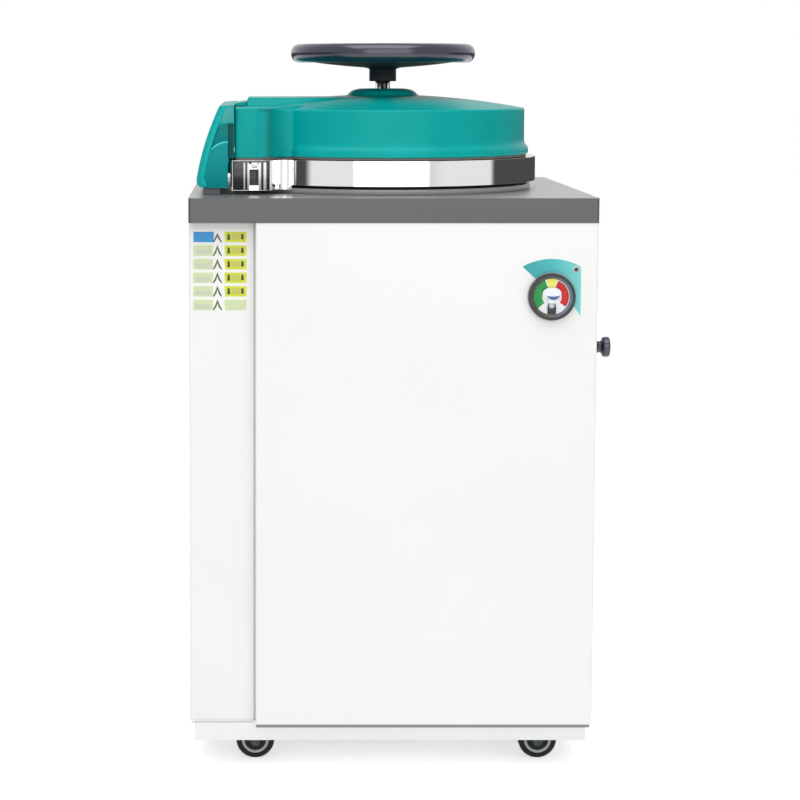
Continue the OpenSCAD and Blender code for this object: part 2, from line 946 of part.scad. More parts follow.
module drain_pipe() {
    top = chamber_floor - vessel_wall;
    color(brass) {
        translate([0, 0, drain_z + drain_bend]) cylinder(r = drain_radius, h = top - drain_z - drain_bend);
        translate([0, 0, drain_z]) rotate([0, 0, -90]) mirror([0, 0, 1])
            pipe_bend_down(drain_radius, drain_bend);
        translate([0, drain_bend, drain_z]) along_y(drain_radius, drain_body_y - drain_bend);
        translate([0, drain_body_y - drain_body_half, drain_z]) along_y(drain_body, 2 * drain_body_half);
        for (y = [drain_body_y - drain_body_half, drain_body_y + drain_body_half - drain_body / 2]) {
            translate([0, y, drain_z]) rotate([-90, 0, 0])
                cylinder(r = drain_nut, h = drain_body / 2, $fn = 6);
        }
        translate([0, drain_body_y + drain_body_half, drain_z]) along_y(drain_radius, drain_spout);
        translate([0, drain_body_y, drain_z])
            cylinder(r = drain_gland, h = drain_body + drain_lever_gap - seat_gap);
    }
}

module drain_lever() {
    lever_z = drain_z + drain_body + drain_lever_gap;
    color("#1F5FA8") translate([0, drain_body_y, lever_z]) {
        cylinder(r = drain_lever_width / 2, h = drain_lever_thickness);
        translate([-drain_lever_length, -drain_lever_width / 2, 0])
            cube([drain_lever_length, drain_lever_width, drain_lever_thickness]);
        translate([-drain_lever_length, 0, 0])
            cylinder(r = drain_lever_width / 2, h = drain_lever_thickness);
        cylinder(r = drain_stem, h = 2 * drain_lever_thickness, $fn = 6);
    }
}

module vent_pipe() {
    angle = atan2(vent_y, vent_x);
    reach = sqrt(vent_x * vent_x + vent_y * vent_y);
    start = chamber_radius + vessel_wall;
    valve_top = vent_z + valve_half;
    color(brass) {
        rotate([0, 0, angle]) {
            translate([start, 0, nozzle_z]) along_x(pipe_radius, reach - pipe_bend - start);
            translate([reach, 0, nozzle_z]) pipe_bend_down(pipe_radius, pipe_bend);
            translate([reach, 0, valve_top])
                cylinder(r = pipe_radius, h = nozzle_z - pipe_bend - valve_top);
            translate([reach, 0, vent_z - valve_half]) cylinder(r = valve_radius, h = 2 * valve_half);
        }
        translate([vent_x, vent_y, exhaust_z + pipe_bend])
            cylinder(r = pipe_radius, h = vent_z - valve_half - exhaust_z - pipe_bend);
        translate([vent_x, vent_y, exhaust_z]) rotate([0, 0, -90]) mirror([0, 0, 1])
            pipe_bend_down(pipe_radius, pipe_bend);
        translate([vent_x, vent_y + pipe_bend, exhaust_z])
            along_y(pipe_radius, half_depth + exhaust_end - vent_y - pipe_bend);
        for (i = [1:3]) translate([vent_x, half_depth + exhaust_end - i * pipe_radius, exhaust_z])
            rotate([-90, 0, 0]) cylinder(r1 = barb_radius, r2 = barb_radius - cut, h = pipe_radius / 2);
        difference() {
            translate([vent_x, vent_y, vent_z]) along_x(valve_bonnet, half_width - 2 * sheet - vent_x);
            translate([vent_x + valve_radius + cut, vent_y, vent_z])
                along_x(knob_stem + running_gap, half_width);
        }
    }
}

module vent_knob() {
    stem_start = vent_x + valve_radius + cut + seat_gap;
    neck_start = half_width + knob_clear;
    color(black_plastic) {
        translate([stem_start, vent_y, vent_z]) along_x(knob_stem, neck_start + cut - stem_start);
        translate([neck_start, vent_y, vent_z]) rotate([0, 90, 0]) rotate_extrude() polygon(concat(
            [[0, 0], [knob_waist + knob_flare, 0]],
            [[knob_waist, knob_neck / 3], [knob_waist, 2 * knob_neck / 3]],
            [[knob_radius - cut, knob_neck - cut], [knob_radius, knob_neck]],
            [[knob_radius, knob_neck + knob_grip - knob_flare]],
            [[knob_radius - knob_flare, knob_neck + knob_grip]],
            [[0, knob_neck + knob_grip]]
        ));
    }
}

module safety_valve() {
    outer = chamber_radius + vessel_wall;
    near_x = -safety_x - safety_neck;
    wall_y = sqrt(outer * outer - near_x * near_x);
    color(brass) translate([safety_x, 0, nozzle_z]) {
        translate([0, wall_y, 0]) along_y(safety_neck, half_depth + 2 * sheet - wall_y);
        translate([0, safety_start, 0]) along_y(safety_radius, back_face - safety_start - safety_neck);
        translate([0, safety_start, 0]) rotate([-90, 0, 0])
            cylinder(r = safety_hexagon, h = safety_neck, $fn = 6);
    }
}

module control_box() {
    corner = (jacket_radius + control_clear) * sin(45);
    color(grey_paint) block(
        [control_left, corner, jacket_bottom],
        [-corner, post_back - seat_gap, jacket_bottom + control_height]
    );
}

module main_switch() {
    color(black_plastic) difference() {
        union() {
            block(
                [
                    switch_x - switch_width / 2 + seat_gap, half_depth - switch_depth,
                    switch_z - switch_height / 2 + seat_gap
                ],
                [
                    switch_x + switch_width / 2 - seat_gap, half_depth + switch_bezel,
                    switch_z + switch_height / 2 - seat_gap
                ]
            );
            block(
                [
                    switch_x - switch_width / 2 - switch_bezel_margin, half_depth,
                    switch_z - switch_height / 2 - switch_bezel_margin
                ],
                [
                    switch_x + switch_width / 2 + switch_bezel_margin, half_depth + switch_bezel,
                    switch_z + switch_height / 2 + switch_bezel_margin
                ]
            );
        }
        block(
            [
                switch_x - switch_width / 2 + 2 * sheet, half_depth - rocker_depth,
                switch_z - switch_height / 2 + 2 * sheet
            ],
            [
                switch_x + switch_width / 2 - 2 * sheet, half_depth + switch_bezel + cut,
                switch_z + switch_height / 2 - 2 * sheet
            ]
        );
        translate([switch_x - rocker_pin_half - seat_gap, half_depth, switch_z])
            along_x(rocker_pin + running_gap, 2 * (rocker_pin_half + seat_gap));
    }
}

// The rocker: two flat pads on one pivot pin, tilted to its rest side
module switch_rocker() {
    half_long = switch_height / 2 - 2 * sheet - rocker_play;
    half_wide = switch_width / 2 - 2 * sheet - seat_gap;
    color(black_plastic) translate([switch_x, half_depth, switch_z]) {
        rotate([rocker_tilt, 0, 0]) translate([-half_wide, 0, 0]) rotate([90, 0, 90])
            linear_extrude(height = 2 * half_wide) polygon([
                [-rocker_depth / 2, 0], [0, -half_long], [switch_bezel, -half_long],
                [switch_bezel - sheet / 2, 0], [switch_bezel, half_long], [0, half_long]
            ]);
        translate([-rocker_pin_half, 0, 0]) along_x(rocker_pin, 2 * rocker_pin_half);
    }
}

module cable_gland() {
    color(black_plastic) difference() {
        union() {
            translate([gland_x, half_depth, gland_z]) rotate([-90, 0, 0])
                cylinder(r = gland_radius, h = gland_length / 4, $fn = 6);
            translate([gland_x, half_depth - gland_length / 2, gland_z])
                along_y(gland_thread - seat_gap, gland_length);
            translate([gland_x, half_depth + gland_length / 4, gland_z]) rotate([-90, 0, 0])
                cylinder(r1 = gland_radius, r2 = gland_nose, h = gland_length / 2);
        }
        translate([gland_x, half_depth - gland_length, gland_z]) along_y(gland_bore, 2 * gland_length);
    }
}

// Gauge and its decal

module on_gauge(depth) {
    translate([gauge_x, panel_front - depth, gauge_z]) children();
}

module gauge_case() {
    riser_y = panel_front + can_depth + gauge_stub_length;
    reach = sqrt(gauge_x * gauge_x + riser_y * riser_y);
    start = chamber_radius + vessel_wall;
    color("#3A3D42") {
        difference() {
            union() {
                on_gauge(bezel_depth) along_y(gauge_radius, bezel_depth);
                on_gauge(0) along_y(gauge_can, can_depth);
            }
            on_gauge(bezel_depth + cut) along_y(dial_radius, bezel_depth + cut - film);
        }
        on_gauge(-can_depth) along_y(gauge_stub, gauge_stub_length);
    }
    color(brass) rotate([0, 0, atan2(riser_y, gauge_x)]) {
        translate([reach, 0, gauge_z]) cylinder(r = gauge_pipe_radius, h = nozzle_z - gauge_z);
        for (z = [gauge_z, nozzle_z]) translate([reach, 0, z - gauge_fitting])
            cylinder(r = gauge_fitting, h = 2 * gauge_fitting);
        translate([start, 0, nozzle_z]) along_x(gauge_pipe_radius, reach - start);
    }
}

module gauge_dial() {
    color("white") difference() {
        on_gauge(dial_lift + film) along_y(dial_radius - running_gap, dial_lift);
        on_gauge(dial_lift + film + cut) along_y(needle_pin_hole, dial_lift + 2 * cut);
    }
}

module gauge_glass() {
    color([0.8, 0.9, 0.95, 0.35])
        on_gauge(glass_lift + glass_thickness) along_y(dial_radius - running_gap, glass_thickness);
}

// The needle rests straight down on the dial's stop
module gauge_needle() {
    color(black_plastic) {
        on_gauge(needle_lift + needle_thickness) rotate([0, needle_rest, 0]) {
            along_y(needle_hub, needle_thickness);
            translate([-needle_width / 2, 0, -needle_tail])
                cube([needle_width, needle_thickness, needle_tail + needle_length]);
        }
        on_gauge(needle_lift) along_y(needle_pin, needle_lift - film - running_gap);
    }
}

module gauge_decal() {
    start = atan2(decal_left_z - decal_arc_drop, decal_left_x);
    end = atan2(sqrt(decal_arc_radius * decal_arc_radius - decal_right * decal_right), decal_right);
    color(teal) on_gauge(0) rotate([90, 0, 0]) linear_extrude(height = film) difference() {
        polygon(concat(
            arc_points(0, decal_arc_drop, decal_arc_radius, start, end, 12),
            [[decal_right, decal_bottom], [decal_tip_x, decal_tip_z], [0, 0], [decal_edge_x, decal_edge_z]]
        ));
        circle(r = gauge_radius + decal_bezel_clear);
        translate([lamp_x, lamp_z]) circle(r = lamp_radius - cut + running_gap);
    }
}

module indicator_lamp() {
    color("#7A1018") {
        translate([gauge_x + lamp_x, panel_front - film - lamp_proud, gauge_z + lamp_z])
            along_y(lamp_radius, lamp_proud);
        translate([gauge_x + lamp_x, panel_front - film, gauge_z + lamp_z])
            along_y(lamp_radius - cut - running_gap, lamp_tail);
    }
}

// Hinge

module hinge_brackets() {
    color(grey_paint) for (side = [0, 1]) mirror([0, side, 0]) difference() {
        union() {
            block(
                [hinge_x - foot_half, -foot_outer, plate_top],
                [hinge_x + foot_half, -bracket_inner, plate_top + foot_height]
            );
            block(
                [hinge_x - bracket_web, -bracket_outer, plate_top],
                [hinge_x + bracket_web, -bracket_inner, hinge_z]
            );
            translate([hinge_x, -bracket_outer, hinge_z]) along_y(bracket_boss, bracket_thickness);
        }
        translate([hinge_x, -bracket_outer - cut, hinge_z])
            along_y(hinge_shaft_radius + running_gap, bracket_outer - bracket_inner + 2 * cut);
    }
}

module hinge_shaft() {
    color(steel) translate([hinge_x, -shaft_half, hinge_z]) along_y(hinge_shaft_radius, 2 * shaft_half);
}

module hinge_arms() {
    color(steel) {
        for (side = [0, 1]) mirror([0, side, 0]) difference() {
            union() {
                translate([hinge_x, -arm_outer, hinge_z]) along_y(arm_boss, arm_thickness);
                upright(arm_outer, arm_thickness) polygon([
                    [-arm_boss, 0], [arm_heel_share * arm_boss, beam_bottom - hinge_z],
                    [arm_top_left, beam_top - hinge_z], [arm_reach - hinge_x, beam_top - hinge_z],
                    [arm_reach - hinge_x, beam_bottom - hinge_z], [arm_boss, beam_bottom - hinge_z],
                    [arm_boss, 0]
                ]);
            }
            translate([hinge_x, -arm_outer - cut, hinge_z])
                along_y(hinge_shaft_radius + running_gap, arm_thickness + 2 * cut);
        }
        difference() {
            block(
                [-cross_half, -arm_inner, beam_bottom],
                [cross_half, arm_inner, beam_bottom + cross_thickness]
            );
            translate([0, 0, beam_bottom - cut])
                cylinder(r = bush_radius + running_gap, h = cross_thickness + 2 * cut);
        }
    }
}

module shaft_bearing() {
    flange_bottom = scroll_top + seat_gap;
    color(brass) translate([0, 0, flange_bottom]) difference() {
        union() {
            cylinder(r = bush_flange, h = beam_bottom - flange_bottom);
            cylinder(r = bush_radius, h = beam_top - flange_bottom);
        }
        translate([0, 0, -cut])
            cylinder(r = shaft_radius + running_gap, h = beam_top - flange_bottom + 2 * cut);
    }
}

// Outline of the tower in the X-Z plane about the hinge axis
function tower_back(shift) = let (
    low = -tower_drop + tower_heel_rise,
    top = tower_top - hinge_z
) curve_points(
    [-tower_heel + shift, low],
    [-tower_heel + tower_bulge + shift, (low + top) / 2],
    [tower_top_left + shift, top],
    8
);

function tower_points() = let (top = tower_top - hinge_z) concat(
    arc_points(-tower_heel + tower_corner, -tower_drop + tower_corner, tower_corner, 270, 190, 5),
    tower_back(0),
    [[tower_roof_right, top + sheet], [tower_roof_right, top - cap_height]],
    [[tower_toe, top - cap_height], [tower_toe, -tower_drop]]
);

// Draws an X-Z outline about the hinge axis and thickens it backwards along +Y
module upright(front, thickness) {
    translate([hinge_x, -front + thickness, hinge_z]) rotate([90, 0, 0])
        linear_extrude(height = thickness) children();
}

module tower_face() {
    recess_top = tower_top - hinge_z - cap_height - sheet;
    inner_edge = [for (p = tower_back(bevel_width)) if (p[1] < recess_top) p];
    difference() {
        upright(tower_front, cheek_skin + cheek_recess) polygon(tower_points());
        upright(tower_front + cut, cheek_recess + cut) difference() {
            polygon(concat(
                [[inner_edge[0][0] + tower_corner / 3, -tower_drop - cut]],
                inner_edge,
                [[inner_edge[len(inner_edge) - 1][0] + sheet, recess_top]],
                [[tower_roof_right + cut, recess_top], [tower_roof_right + cut, -tower_drop - cut]]
            ));
            intersection() {
                translate([arch_x, 0]) circle(r = arch_radius);
                translate([arch_x - arch_radius, 0]) square([arch_radius + cut, arch_radius + cut]);
            }
            translate([arch_x - arch_radius, -tower_drop]) square([arch_radius + cut, tower_drop + cut]);
        }
    }
}

module hinge_housing() {
    top = tower_top - hinge_z;
    inner = tower_front - cheek_skin - cheek_recess;
    outside = tower_back(0);
    inside = tower_back(tower_wall);
    last = len(inside) - 1;
    color(teal) {
        for (side = [0, 1]) mirror([0, side, 0]) {
            tower_face();
            upright(inner + lip_inset, lip_thickness) polygon([
                [tower_toe - lip_thickness, cover_bottom - hinge_z], [tower_roof_right, cover_bottom - hinge_z],
                [tower_roof_right, top - cap_height + cut], [tower_toe - lip_thickness, top - cap_height + cut]
            ]);
            upright(inner + cut, inner + cut - block_half) polygon([
                [side_wall_left, side_wall_bottom], [side_wall_left + sheet, side_wall_bottom],
                [side_wall_left + sheet, top], [side_wall_left, top]
            ]);
        }
        difference() {
            upright(inner + cut, 2 * (inner + cut))
                polygon(concat(outside, [for (i = [0:last]) inside[last - i]]));
            for (side = [0, 1]) mirror([0, side, 0]) block(
                [hinge_x - 2 * tower_heel, -inner - 2 * cut, hinge_z - tower_drop],
                [hinge_x + tower_heel, -notch_inner, hinge_z + notch_lift]
            );
        }
        upright(inner + cut, 2 * (inner + cut)) polygon([
            [tower_top_left, top], [tower_roof_right, top + sheet],
            [tower_roof_right, top + sheet - tower_wall], [tower_top_left, top - tower_wall]
        ]);
        upright(block_half, 2 * block_half) polygon([
            [tower_roof_right - cut, top + sheet], [block_right - 2 * sheet, top + block_height],
            [block_right, top + block_height], [block_right, top - sheet],
            [tower_roof_right - cut, top - sheet]
        ]);
    }
}

// Lid cover

// Half section of the cover, grown inwards by a wall
function cover_half(wall) = let (
    extra = wall > 0 ? cut : 0,
    sphere_z = dome_top - dome_sphere,
    start = asin(boss_foot / dome_sphere),
    end = asin((shoulder_radius - wall) / dome_sphere)
) concat(
    [[0, sphere_z + (dome_sphere - wall) * cos(start)]],
    [
        for (i = [0:10]) let (a = start + (end - start) * i / 10)
            [(dome_sphere - wall) * sin(a), sphere_z + (dome_sphere - wall) * cos(a)]
    ],
    [[cover_radius - wall, cover_shoulder - 2 * shoulder_fall - wall]],
    [[cover_radius - wall, cover_bottom - extra], [0, cover_bottom - extra]]
);

module cover_body(wall) {
    extra = wall > 0 ? cut : 0;
    rotate_extrude($fn = 128) polygon(cover_half(wall));
    translate([0, 0, cover_bottom - extra]) linear_extrude(height = cover_side + lobe_rise - wall + extra)
        end_outline(cover_left - wall, cover_front - wall, cover_corner_radius - wall, cover_radius - wall);
    block(
        [-spine_left + wall, -spine_half + wall, cover_bottom - extra],
        [-spine_right - wall, spine_half - wall, spine_top - wall]
    );
}

module cover_trim() {
    translate([0, 0, cover_bottom]) rotate_extrude($fn = 128) polygon([
        [cover_radius - sheet, 0], [bead_radius, 0], [bead_radius, bead_height],
        [cover_radius, bead_height + bead_slope], [cover_radius - sheet, bead_height + bead_slope]
    ]);
    rotate_extrude() polygon([
        [0, dome_top - 2 * cover_wall], [boss_foot, dome_top - 2 * cover_wall],
        [boss_foot, dome_top - sheet],
        [boss_rim, dome_top + boss_height - cover_wall], [boss_crown, dome_top + boss_height],
        [0, dome_top + boss_height]
    ]);
}

module lid_cover() {
    stud_y = (arm_inner + arm_outer) / 2;
    stud_square = stud_x * stud_x + stud_y * stud_y;
    dome_at_stud = dome_top - dome_sphere + sqrt(dome_sphere * dome_sphere - stud_square);
    color(teal) difference() {
        union() {
            difference() {
                union() {
                    cover_body(0);
                    cover_trim();
                }
                cover_body(cover_wall);
            }
            for (sx = [-1, 1], sy = [-1, 1]) {
                translate([sx * stud_x, sy * stud_y, beam_top])
                    cylinder(
                        r = stud_radius, $fn = 32,
                        h = (sx < 0 ? spine_top : dome_at_stud) - cover_wall / 2 - beam_top
                    );
            }
        }
        translate([0, 0, cover_shoulder]) cylinder(r = shaft_radius + knob_clear, h = cover_side);
        block(
            [-cover_left - bead_proud, -window_half, cover_bottom - cut],
            [-cover_left + 3 * cover_wall, window_half, window_top]
        );
    }
}

// Lock

module lid_plate() {
    color(steel) {
        difference() {
            translate([0, 0, lid_plate_bottom])
                cylinder(r = lid_plate_radius, h = lid_plate_thickness, $fn = 128);
            translate([0, 0, lid_plate_top - lid_plate_thickness / 2])
                cylinder(r = shaft_radius + running_gap, h = lid_plate_thickness);
        }
        for (sx = [-1, 1], sy = [-1, 1]) {
            translate([sx * column_x, sy * (arm_inner + arm_outer) / 2, lid_plate_top - cut])
                cylinder(r = column_radius, h = beam_bottom - lid_plate_top + cut);
        }
    }
}

module bar_guides() {
    side = bar_width / 2 + seat_gap;
    strap_z = bar_top + seat_gap;
    color(steel) for (i = [0:bar_count - 1]) rotate([0, 0, bar_step * i]) {
        for (s = [0, 1]) mirror([0, s, 0]) block(
            [guide_inner, side, lid_plate_top],
            [guide_outer, side + guide_cheek, strap_z]
        );
        block(
            [strap_inner, -side - guide_cheek, strap_z],
            [strap_inner + strap_width, side + guide_cheek, strap_z + strap_thickness]
        );
    }
}

module lock_bar(index) {
    pin_at = pin_inner + scroll_pitch * index / bar_count;
    color(polished_steel) rotate([0, 0, bar_step * index]) {
        intersection() {
            block([bar_inner, -bar_width / 2, bar_bottom], [bar_reach, bar_width / 2, bar_top]);
            translate([0, 0, bar_bottom - cut])
                cylinder(r = bar_reach, h = bar_thickness + 2 * cut, $fn = 128);
        }
        translate([pin_at, 0, bar_top - cut]) cylinder(r = pin_radius, h = pin_height + cut, $fn = 32);
    }
}

module lock_bar_1() { lock_bar(0); }
module lock_bar_2() { lock_bar(1); }
module lock_bar_3() { lock_bar(2); }
module lock_bar_4() { lock_bar(3); }
module lock_bar_5() { lock_bar(4); }
module lock_bar_6() { lock_bar(5); }

// Radius of the scroll groove's middle line at an angle
function scroll_at(angle) = pin_inner + scroll_pitch * angle / 360;

module scroll_disc() {
    first = -scroll_run_out;
    last = bar_step * (bar_count - 1) + scroll_turn + scroll_run_out;
    steps = 96;
    angles = [for (i = [0:steps]) first + (last - first) * i / steps];
    color(steel) difference() {
        translate([0, 0, scroll_bottom]) cylinder(r = scroll_radius, h = scroll_thickness);
        translate([0, 0, scroll_bottom - cut]) linear_extrude(height = scroll_groove_depth + cut)
            polygon(concat(
                [for (a = angles) (scroll_at(a) + scroll_groove_half) * [cos(a), sin(a)]],
                [
                    for (i = [0:steps]) let (a = angles[steps - i])
                        (scroll_at(a) - scroll_groove_half) * [cos(a), sin(a)]
                ]
            ));
        translate([0, 0, scroll_bottom - cut])
            cylinder(r = shaft_radius + running_gap, h = scroll_thickness + 2 * cut);
    }
}

module wheel_shaft() {
    bottom = lid_plate_top - lid_plate_thickness / 2 + seat_gap;
    color(polished_steel) translate([0, 0, bottom])
        cylinder(r = shaft_radius, h = rim_centre_z + shaft_end - bottom);
}

module handwheel() {
    web_low = hub_top;
    web_outer = rim_centre - rim_width / 4;
    rim_low = rim_centre_z - rim_height / 2;
    color(black_plastic) difference() {
        union() {
            translate([0, 0, rim_centre_z]) rotate_extrude($fn = 96) translate([rim_centre, 0])
                round_rect(rim_width, rim_height, rim_round_share * rim_width);
            rotate_extrude($fn = 96) polygon([
                [0, hub_bottom + cut], [hub_radius - cut, hub_bottom], [hub_radius, hub_bottom + cut],
                [hub_radius, web_low], [web_outer, rim_low + cut],
                [web_outer, rim_low + web_thickness + cut], [wheel_cap, web_low + web_thickness],
                [wheel_cap, web_low + web_thickness + wheel_cap_height / 2],
                [wheel_cap - 2 * cut, web_low + wheel_cap_height + web_thickness],
                [0, web_low + wheel_cap_height + web_thickness]
            ]);
        }
        translate([0, 0, hub_bottom - cut])
            cylinder(r = shaft_radius + running_gap, h = rim_centre_z + shaft_end - hub_bottom + cut);
    }
}

// Casters

function caster_side_x(index) = index % 2 == 0 ? -caster_x : caster_x;
function caster_side_y(index) = index < 2 ? -caster_y : caster_y;

module at_caster(index) {
    translate([caster_side_x(index), caster_side_y(index), 0]) children();
}

module caster_plates() {
    color(steel) for (index = [0:3]) at_caster(index) difference() {
        translate([0, 0, caster_deck - caster_plate_thickness])
            linear_extrude(height = caster_plate_thickness)
                round_rect(caster_plate_side, caster_plate_side, 2 * sheet);
        translate([0, 0, caster_deck - caster_plate_thickness - cut])
            cylinder(r = caster_king_pin + running_gap, h = caster_plate_thickness + 2 * cut);
    }
}

module caster_fork(index) {
    side = caster_tread / 2 + fork_side_gap;
    color("#4A4C50") at_caster(index) {
        translate([0, 0, caster_crown_top - caster_crown])
            cylinder(r = caster_crown_radius, h = caster_crown);
        translate([0, 0, caster_crown_top - cut])
            cylinder(r = caster_king_pin, h = caster_plate_thickness + cut);
        for (s = [0, 1]) mirror([0, s, 0]) {
            translate([0, side, 0]) rotate([90, 0, 0]) translate([0, 0, -fork_leg])
                linear_extrude(height = fork_leg) polygon([
                    [-fork_leg_width / 2, caster_crown_top - cut], [fork_leg_width, caster_crown_top - cut],
                    [caster_trail + fork_leg_width / 2, caster_radius],
                    [caster_trail + fork_leg_width / 4, caster_radius - fork_leg_width / 2],
                    [caster_trail - fork_leg_width / 4, caster_radius - fork_leg_width / 2],
                    [caster_trail - fork_leg_width / 2, caster_radius]
                ]);
            translate([0, 0, caster_crown_top - caster_crown])
                block([-fork_leg_width / 2, 0, 0], [fork_leg_width, side + fork_leg, caster_crown]);
        }
        translate([caster_trail, -side - cut, caster_radius]) along_y(caster_axle, 2 * (side + cut));
    }
}

module caster_fork_1() { caster_fork(0); }
module caster_fork_2() { caster_fork(1); }
module caster_fork_3() { caster_fork(2); }
module caster_fork_4() { caster_fork(3); }

module caster_wheel(index) {
    color(dark_rubber) at_caster(index) difference() {
        translate([caster_trail, 0, caster_radius]) rotate([90, 0, 0]) {
            translate([0, 0, -caster_tread / 2]) rotate_extrude() polygon([
                [0, 0], [caster_hub, 0], [caster_hub, caster_hub_side * 2],
                [caster_radius - tread_fall, caster_hub_side * 2],
                [caster_radius, tread_shoulder], [caster_radius, caster_tread - tread_shoulder],
                [caster_radius - tread_fall, caster_tread - caster_hub_side * 2],
                [caster_hub, caster_tread - caster_hub_side * 2], [caster_hub, caster_tread],
                [0, caster_tread]
            ]);
        }
        translate([caster_trail, -caster_tread, caster_radius])
            along_y(caster_axle + running_gap, 2 * caster_tread);
    }
}

module caster_wheel_1() { caster_wheel(0); }
module caster_wheel_2() { caster_wheel(1); }
module caster_wheel_3() { caster_wheel(2); }
module caster_wheel_4() { caster_wheel(3); }

base_tray();
inner_frame();
left_panel();
right_panel();
back_panel();
front_panel();
front_strip();
top_plate();
step_label();
gauge_decal();
indicator_lamp();
gauge_case();
gauge_dial();
gauge_glass();
gauge_needle();
vessel();
locking_ring();
ring_collar();
lid_seal();
insulation_jacket();
heater();
support_rack();
basket();
drain_pipe();
drain_lever();
vent_pipe();
vent_knob();
safety_valve();
control_box();
main_switch();
switch_rocker();
cable_gland();
hinge_brackets();
hinge_shaft();
interlock_pin();
panel_screws();
lid_cover();
lid_plate();
hinge_housing();
hinge_arms();
bar_guides();
shaft_bearing();
handwheel();
wheel_shaft();
scroll_disc();
lock_bar_1();
lock_bar_2();
lock_bar_3();
lock_bar_4();
lock_bar_5();
lock_bar_6();
caster_plates();
caster_fork_1();
caster_fork_2();
caster_fork_3();
caster_fork_4();
caster_wheel_1();
caster_wheel_2();
caster_wheel_3();
caster_wheel_4();
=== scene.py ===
"""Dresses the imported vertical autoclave: painted cabinet, polished locking ring, moulded teal lid and black handwheel.

Lengths are metres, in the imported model's own frame: Z up from the floor, the front faces -Y.
Most new pieces are grids of points worked out with numpy, in millimetres first and scaled once by MM.
"""
import json

import bmesh
import bpy
import numpy as np
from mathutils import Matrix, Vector


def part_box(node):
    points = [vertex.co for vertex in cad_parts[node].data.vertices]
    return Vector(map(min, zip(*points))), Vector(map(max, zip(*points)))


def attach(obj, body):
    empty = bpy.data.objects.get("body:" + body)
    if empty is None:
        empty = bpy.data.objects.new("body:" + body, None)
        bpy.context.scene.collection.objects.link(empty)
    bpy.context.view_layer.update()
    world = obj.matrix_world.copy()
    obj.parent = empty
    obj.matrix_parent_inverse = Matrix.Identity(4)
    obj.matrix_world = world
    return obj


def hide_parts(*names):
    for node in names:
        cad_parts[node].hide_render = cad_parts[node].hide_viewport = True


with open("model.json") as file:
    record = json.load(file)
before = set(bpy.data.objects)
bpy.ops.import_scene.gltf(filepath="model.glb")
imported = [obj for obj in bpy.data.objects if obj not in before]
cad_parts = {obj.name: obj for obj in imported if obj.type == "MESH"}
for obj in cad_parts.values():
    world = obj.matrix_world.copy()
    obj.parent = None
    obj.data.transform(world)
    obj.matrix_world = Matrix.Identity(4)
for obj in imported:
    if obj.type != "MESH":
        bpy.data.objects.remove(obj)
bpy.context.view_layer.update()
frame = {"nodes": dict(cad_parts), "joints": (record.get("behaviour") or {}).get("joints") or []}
MM = 0.001


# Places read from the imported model, in millimetres

def span(node):
    """Lowest and highest corner of a CAD node, in millimetres."""
    low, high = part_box(node)
    return np.array(low) / MM, np.array(high) / MM


RING_LOW, RING_HIGH = span("locking_ring")
COVER_LOW, COVER_HIGH = span("lid_cover")
WHEEL_LOW, WHEEL_HIGH = span("handwheel")
SHAFT_LOW, SHAFT_HIGH = span("wheel_shaft")
PANEL_LOW, PANEL_HIGH = span("front_panel")
STRIP_LOW, STRIP_HIGH = span("front_strip")
DIAL_LOW, DIAL_HIGH = span("gauge_dial")
LABEL_LOW, LABEL_HIGH = span("step_label")
PLATE_RIGHT = span("top_plate")[1][0]
TOWER_FRONT = span("hinge_housing")[0][1]
BEAM_TOP = span("hinge_arms")[1][2]
HINGE = next(joint["pos_m"] for joint in frame["joints"] if joint["name"] == "lid_hinge")
HINGE_X, HINGE_Z = HINGE[0] / MM, HINGE[2] / MM
GAUGE_X, GAUGE_Z = 0.5 * (DIAL_LOW[0] + DIAL_HIGH[0]), 0.5 * (DIAL_LOW[2] + DIAL_HIGH[2])


# Mesh helpers. Points closer than a merge, in metres, become one: thin plates need the finer one.

MERGE, THIN_MERGE = 1e-6, 1e-7


def finish_mesh(piece, body, material, stands_for=(), merge=MERGE):
    """Merges doubles, turns the faces outwards, shades smooth, gives the material, attaches the piece to its body's
    empty and hides the parts it stands for.
    """
    shell = bmesh.new()
    shell.from_mesh(piece.data)
    bmesh.ops.remove_doubles(shell, verts=shell.verts, dist=merge)
    bmesh.ops.recalc_face_normals(shell, faces=shell.faces)
    shell.to_mesh(piece.data)
    shell.free()
    piece.data.shade_smooth()
    piece.data.materials.clear()
    piece.data.materials.append(material)
    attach(piece, body)
    if stands_for:
        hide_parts(*stands_for)
    return piece


def new_piece(name, points, faces):
    """A mesh object from points in millimetres and faces as lists of point numbers."""
    mesh = bpy.data.meshes.new(name)
    mesh.from_pydata((np.asarray(points) * MM).tolist(), [], faces)
    piece = bpy.data.objects.new(name, mesh)
    bpy.context.scene.collection.objects.link(piece)
    return piece


def grid_faces(rows, columns, wrap_rows=False):
    """Four-sided faces between neighbouring points of a grid, whose rows are closed rings of columns points."""
    row = np.arange(rows if wrap_rows else rows - 1)[:, None]
    column = np.arange(columns)[None, :]
    row_next, column_next = (row + 1) % rows, (column + 1) % columns
    corners = [row * columns + column, row * columns + column_next,
               row_next * columns + column_next, row_next * columns + column]
    return np.stack(corners, -1).reshape(-1, 4).tolist()


def rings_piece(name, rings, caps=True):
    """Rings of points, an array of rings by points by 3, joined in order. The first and last ring are capped."""
    rings = np.asarray(rings, float)
    count, points = rings.shape[:2]
    faces = grid_faces(count, points)
    if caps:
        faces.append(list(range(points)))
        faces.append(list(range((count - 1) * points, count * points)))
    return new_piece(name, rings.reshape(-1, 3), faces)


def loop_piece(name, rings):
    """Rings joined in order and the last joined to the first, for a tube or a torus."""
    rings = np.asarray(rings, float)
    count, points = rings.shape[:2]
    return new_piece(name, rings.reshape(-1, 3), grid_faces(count, points, wrap_rows=True))


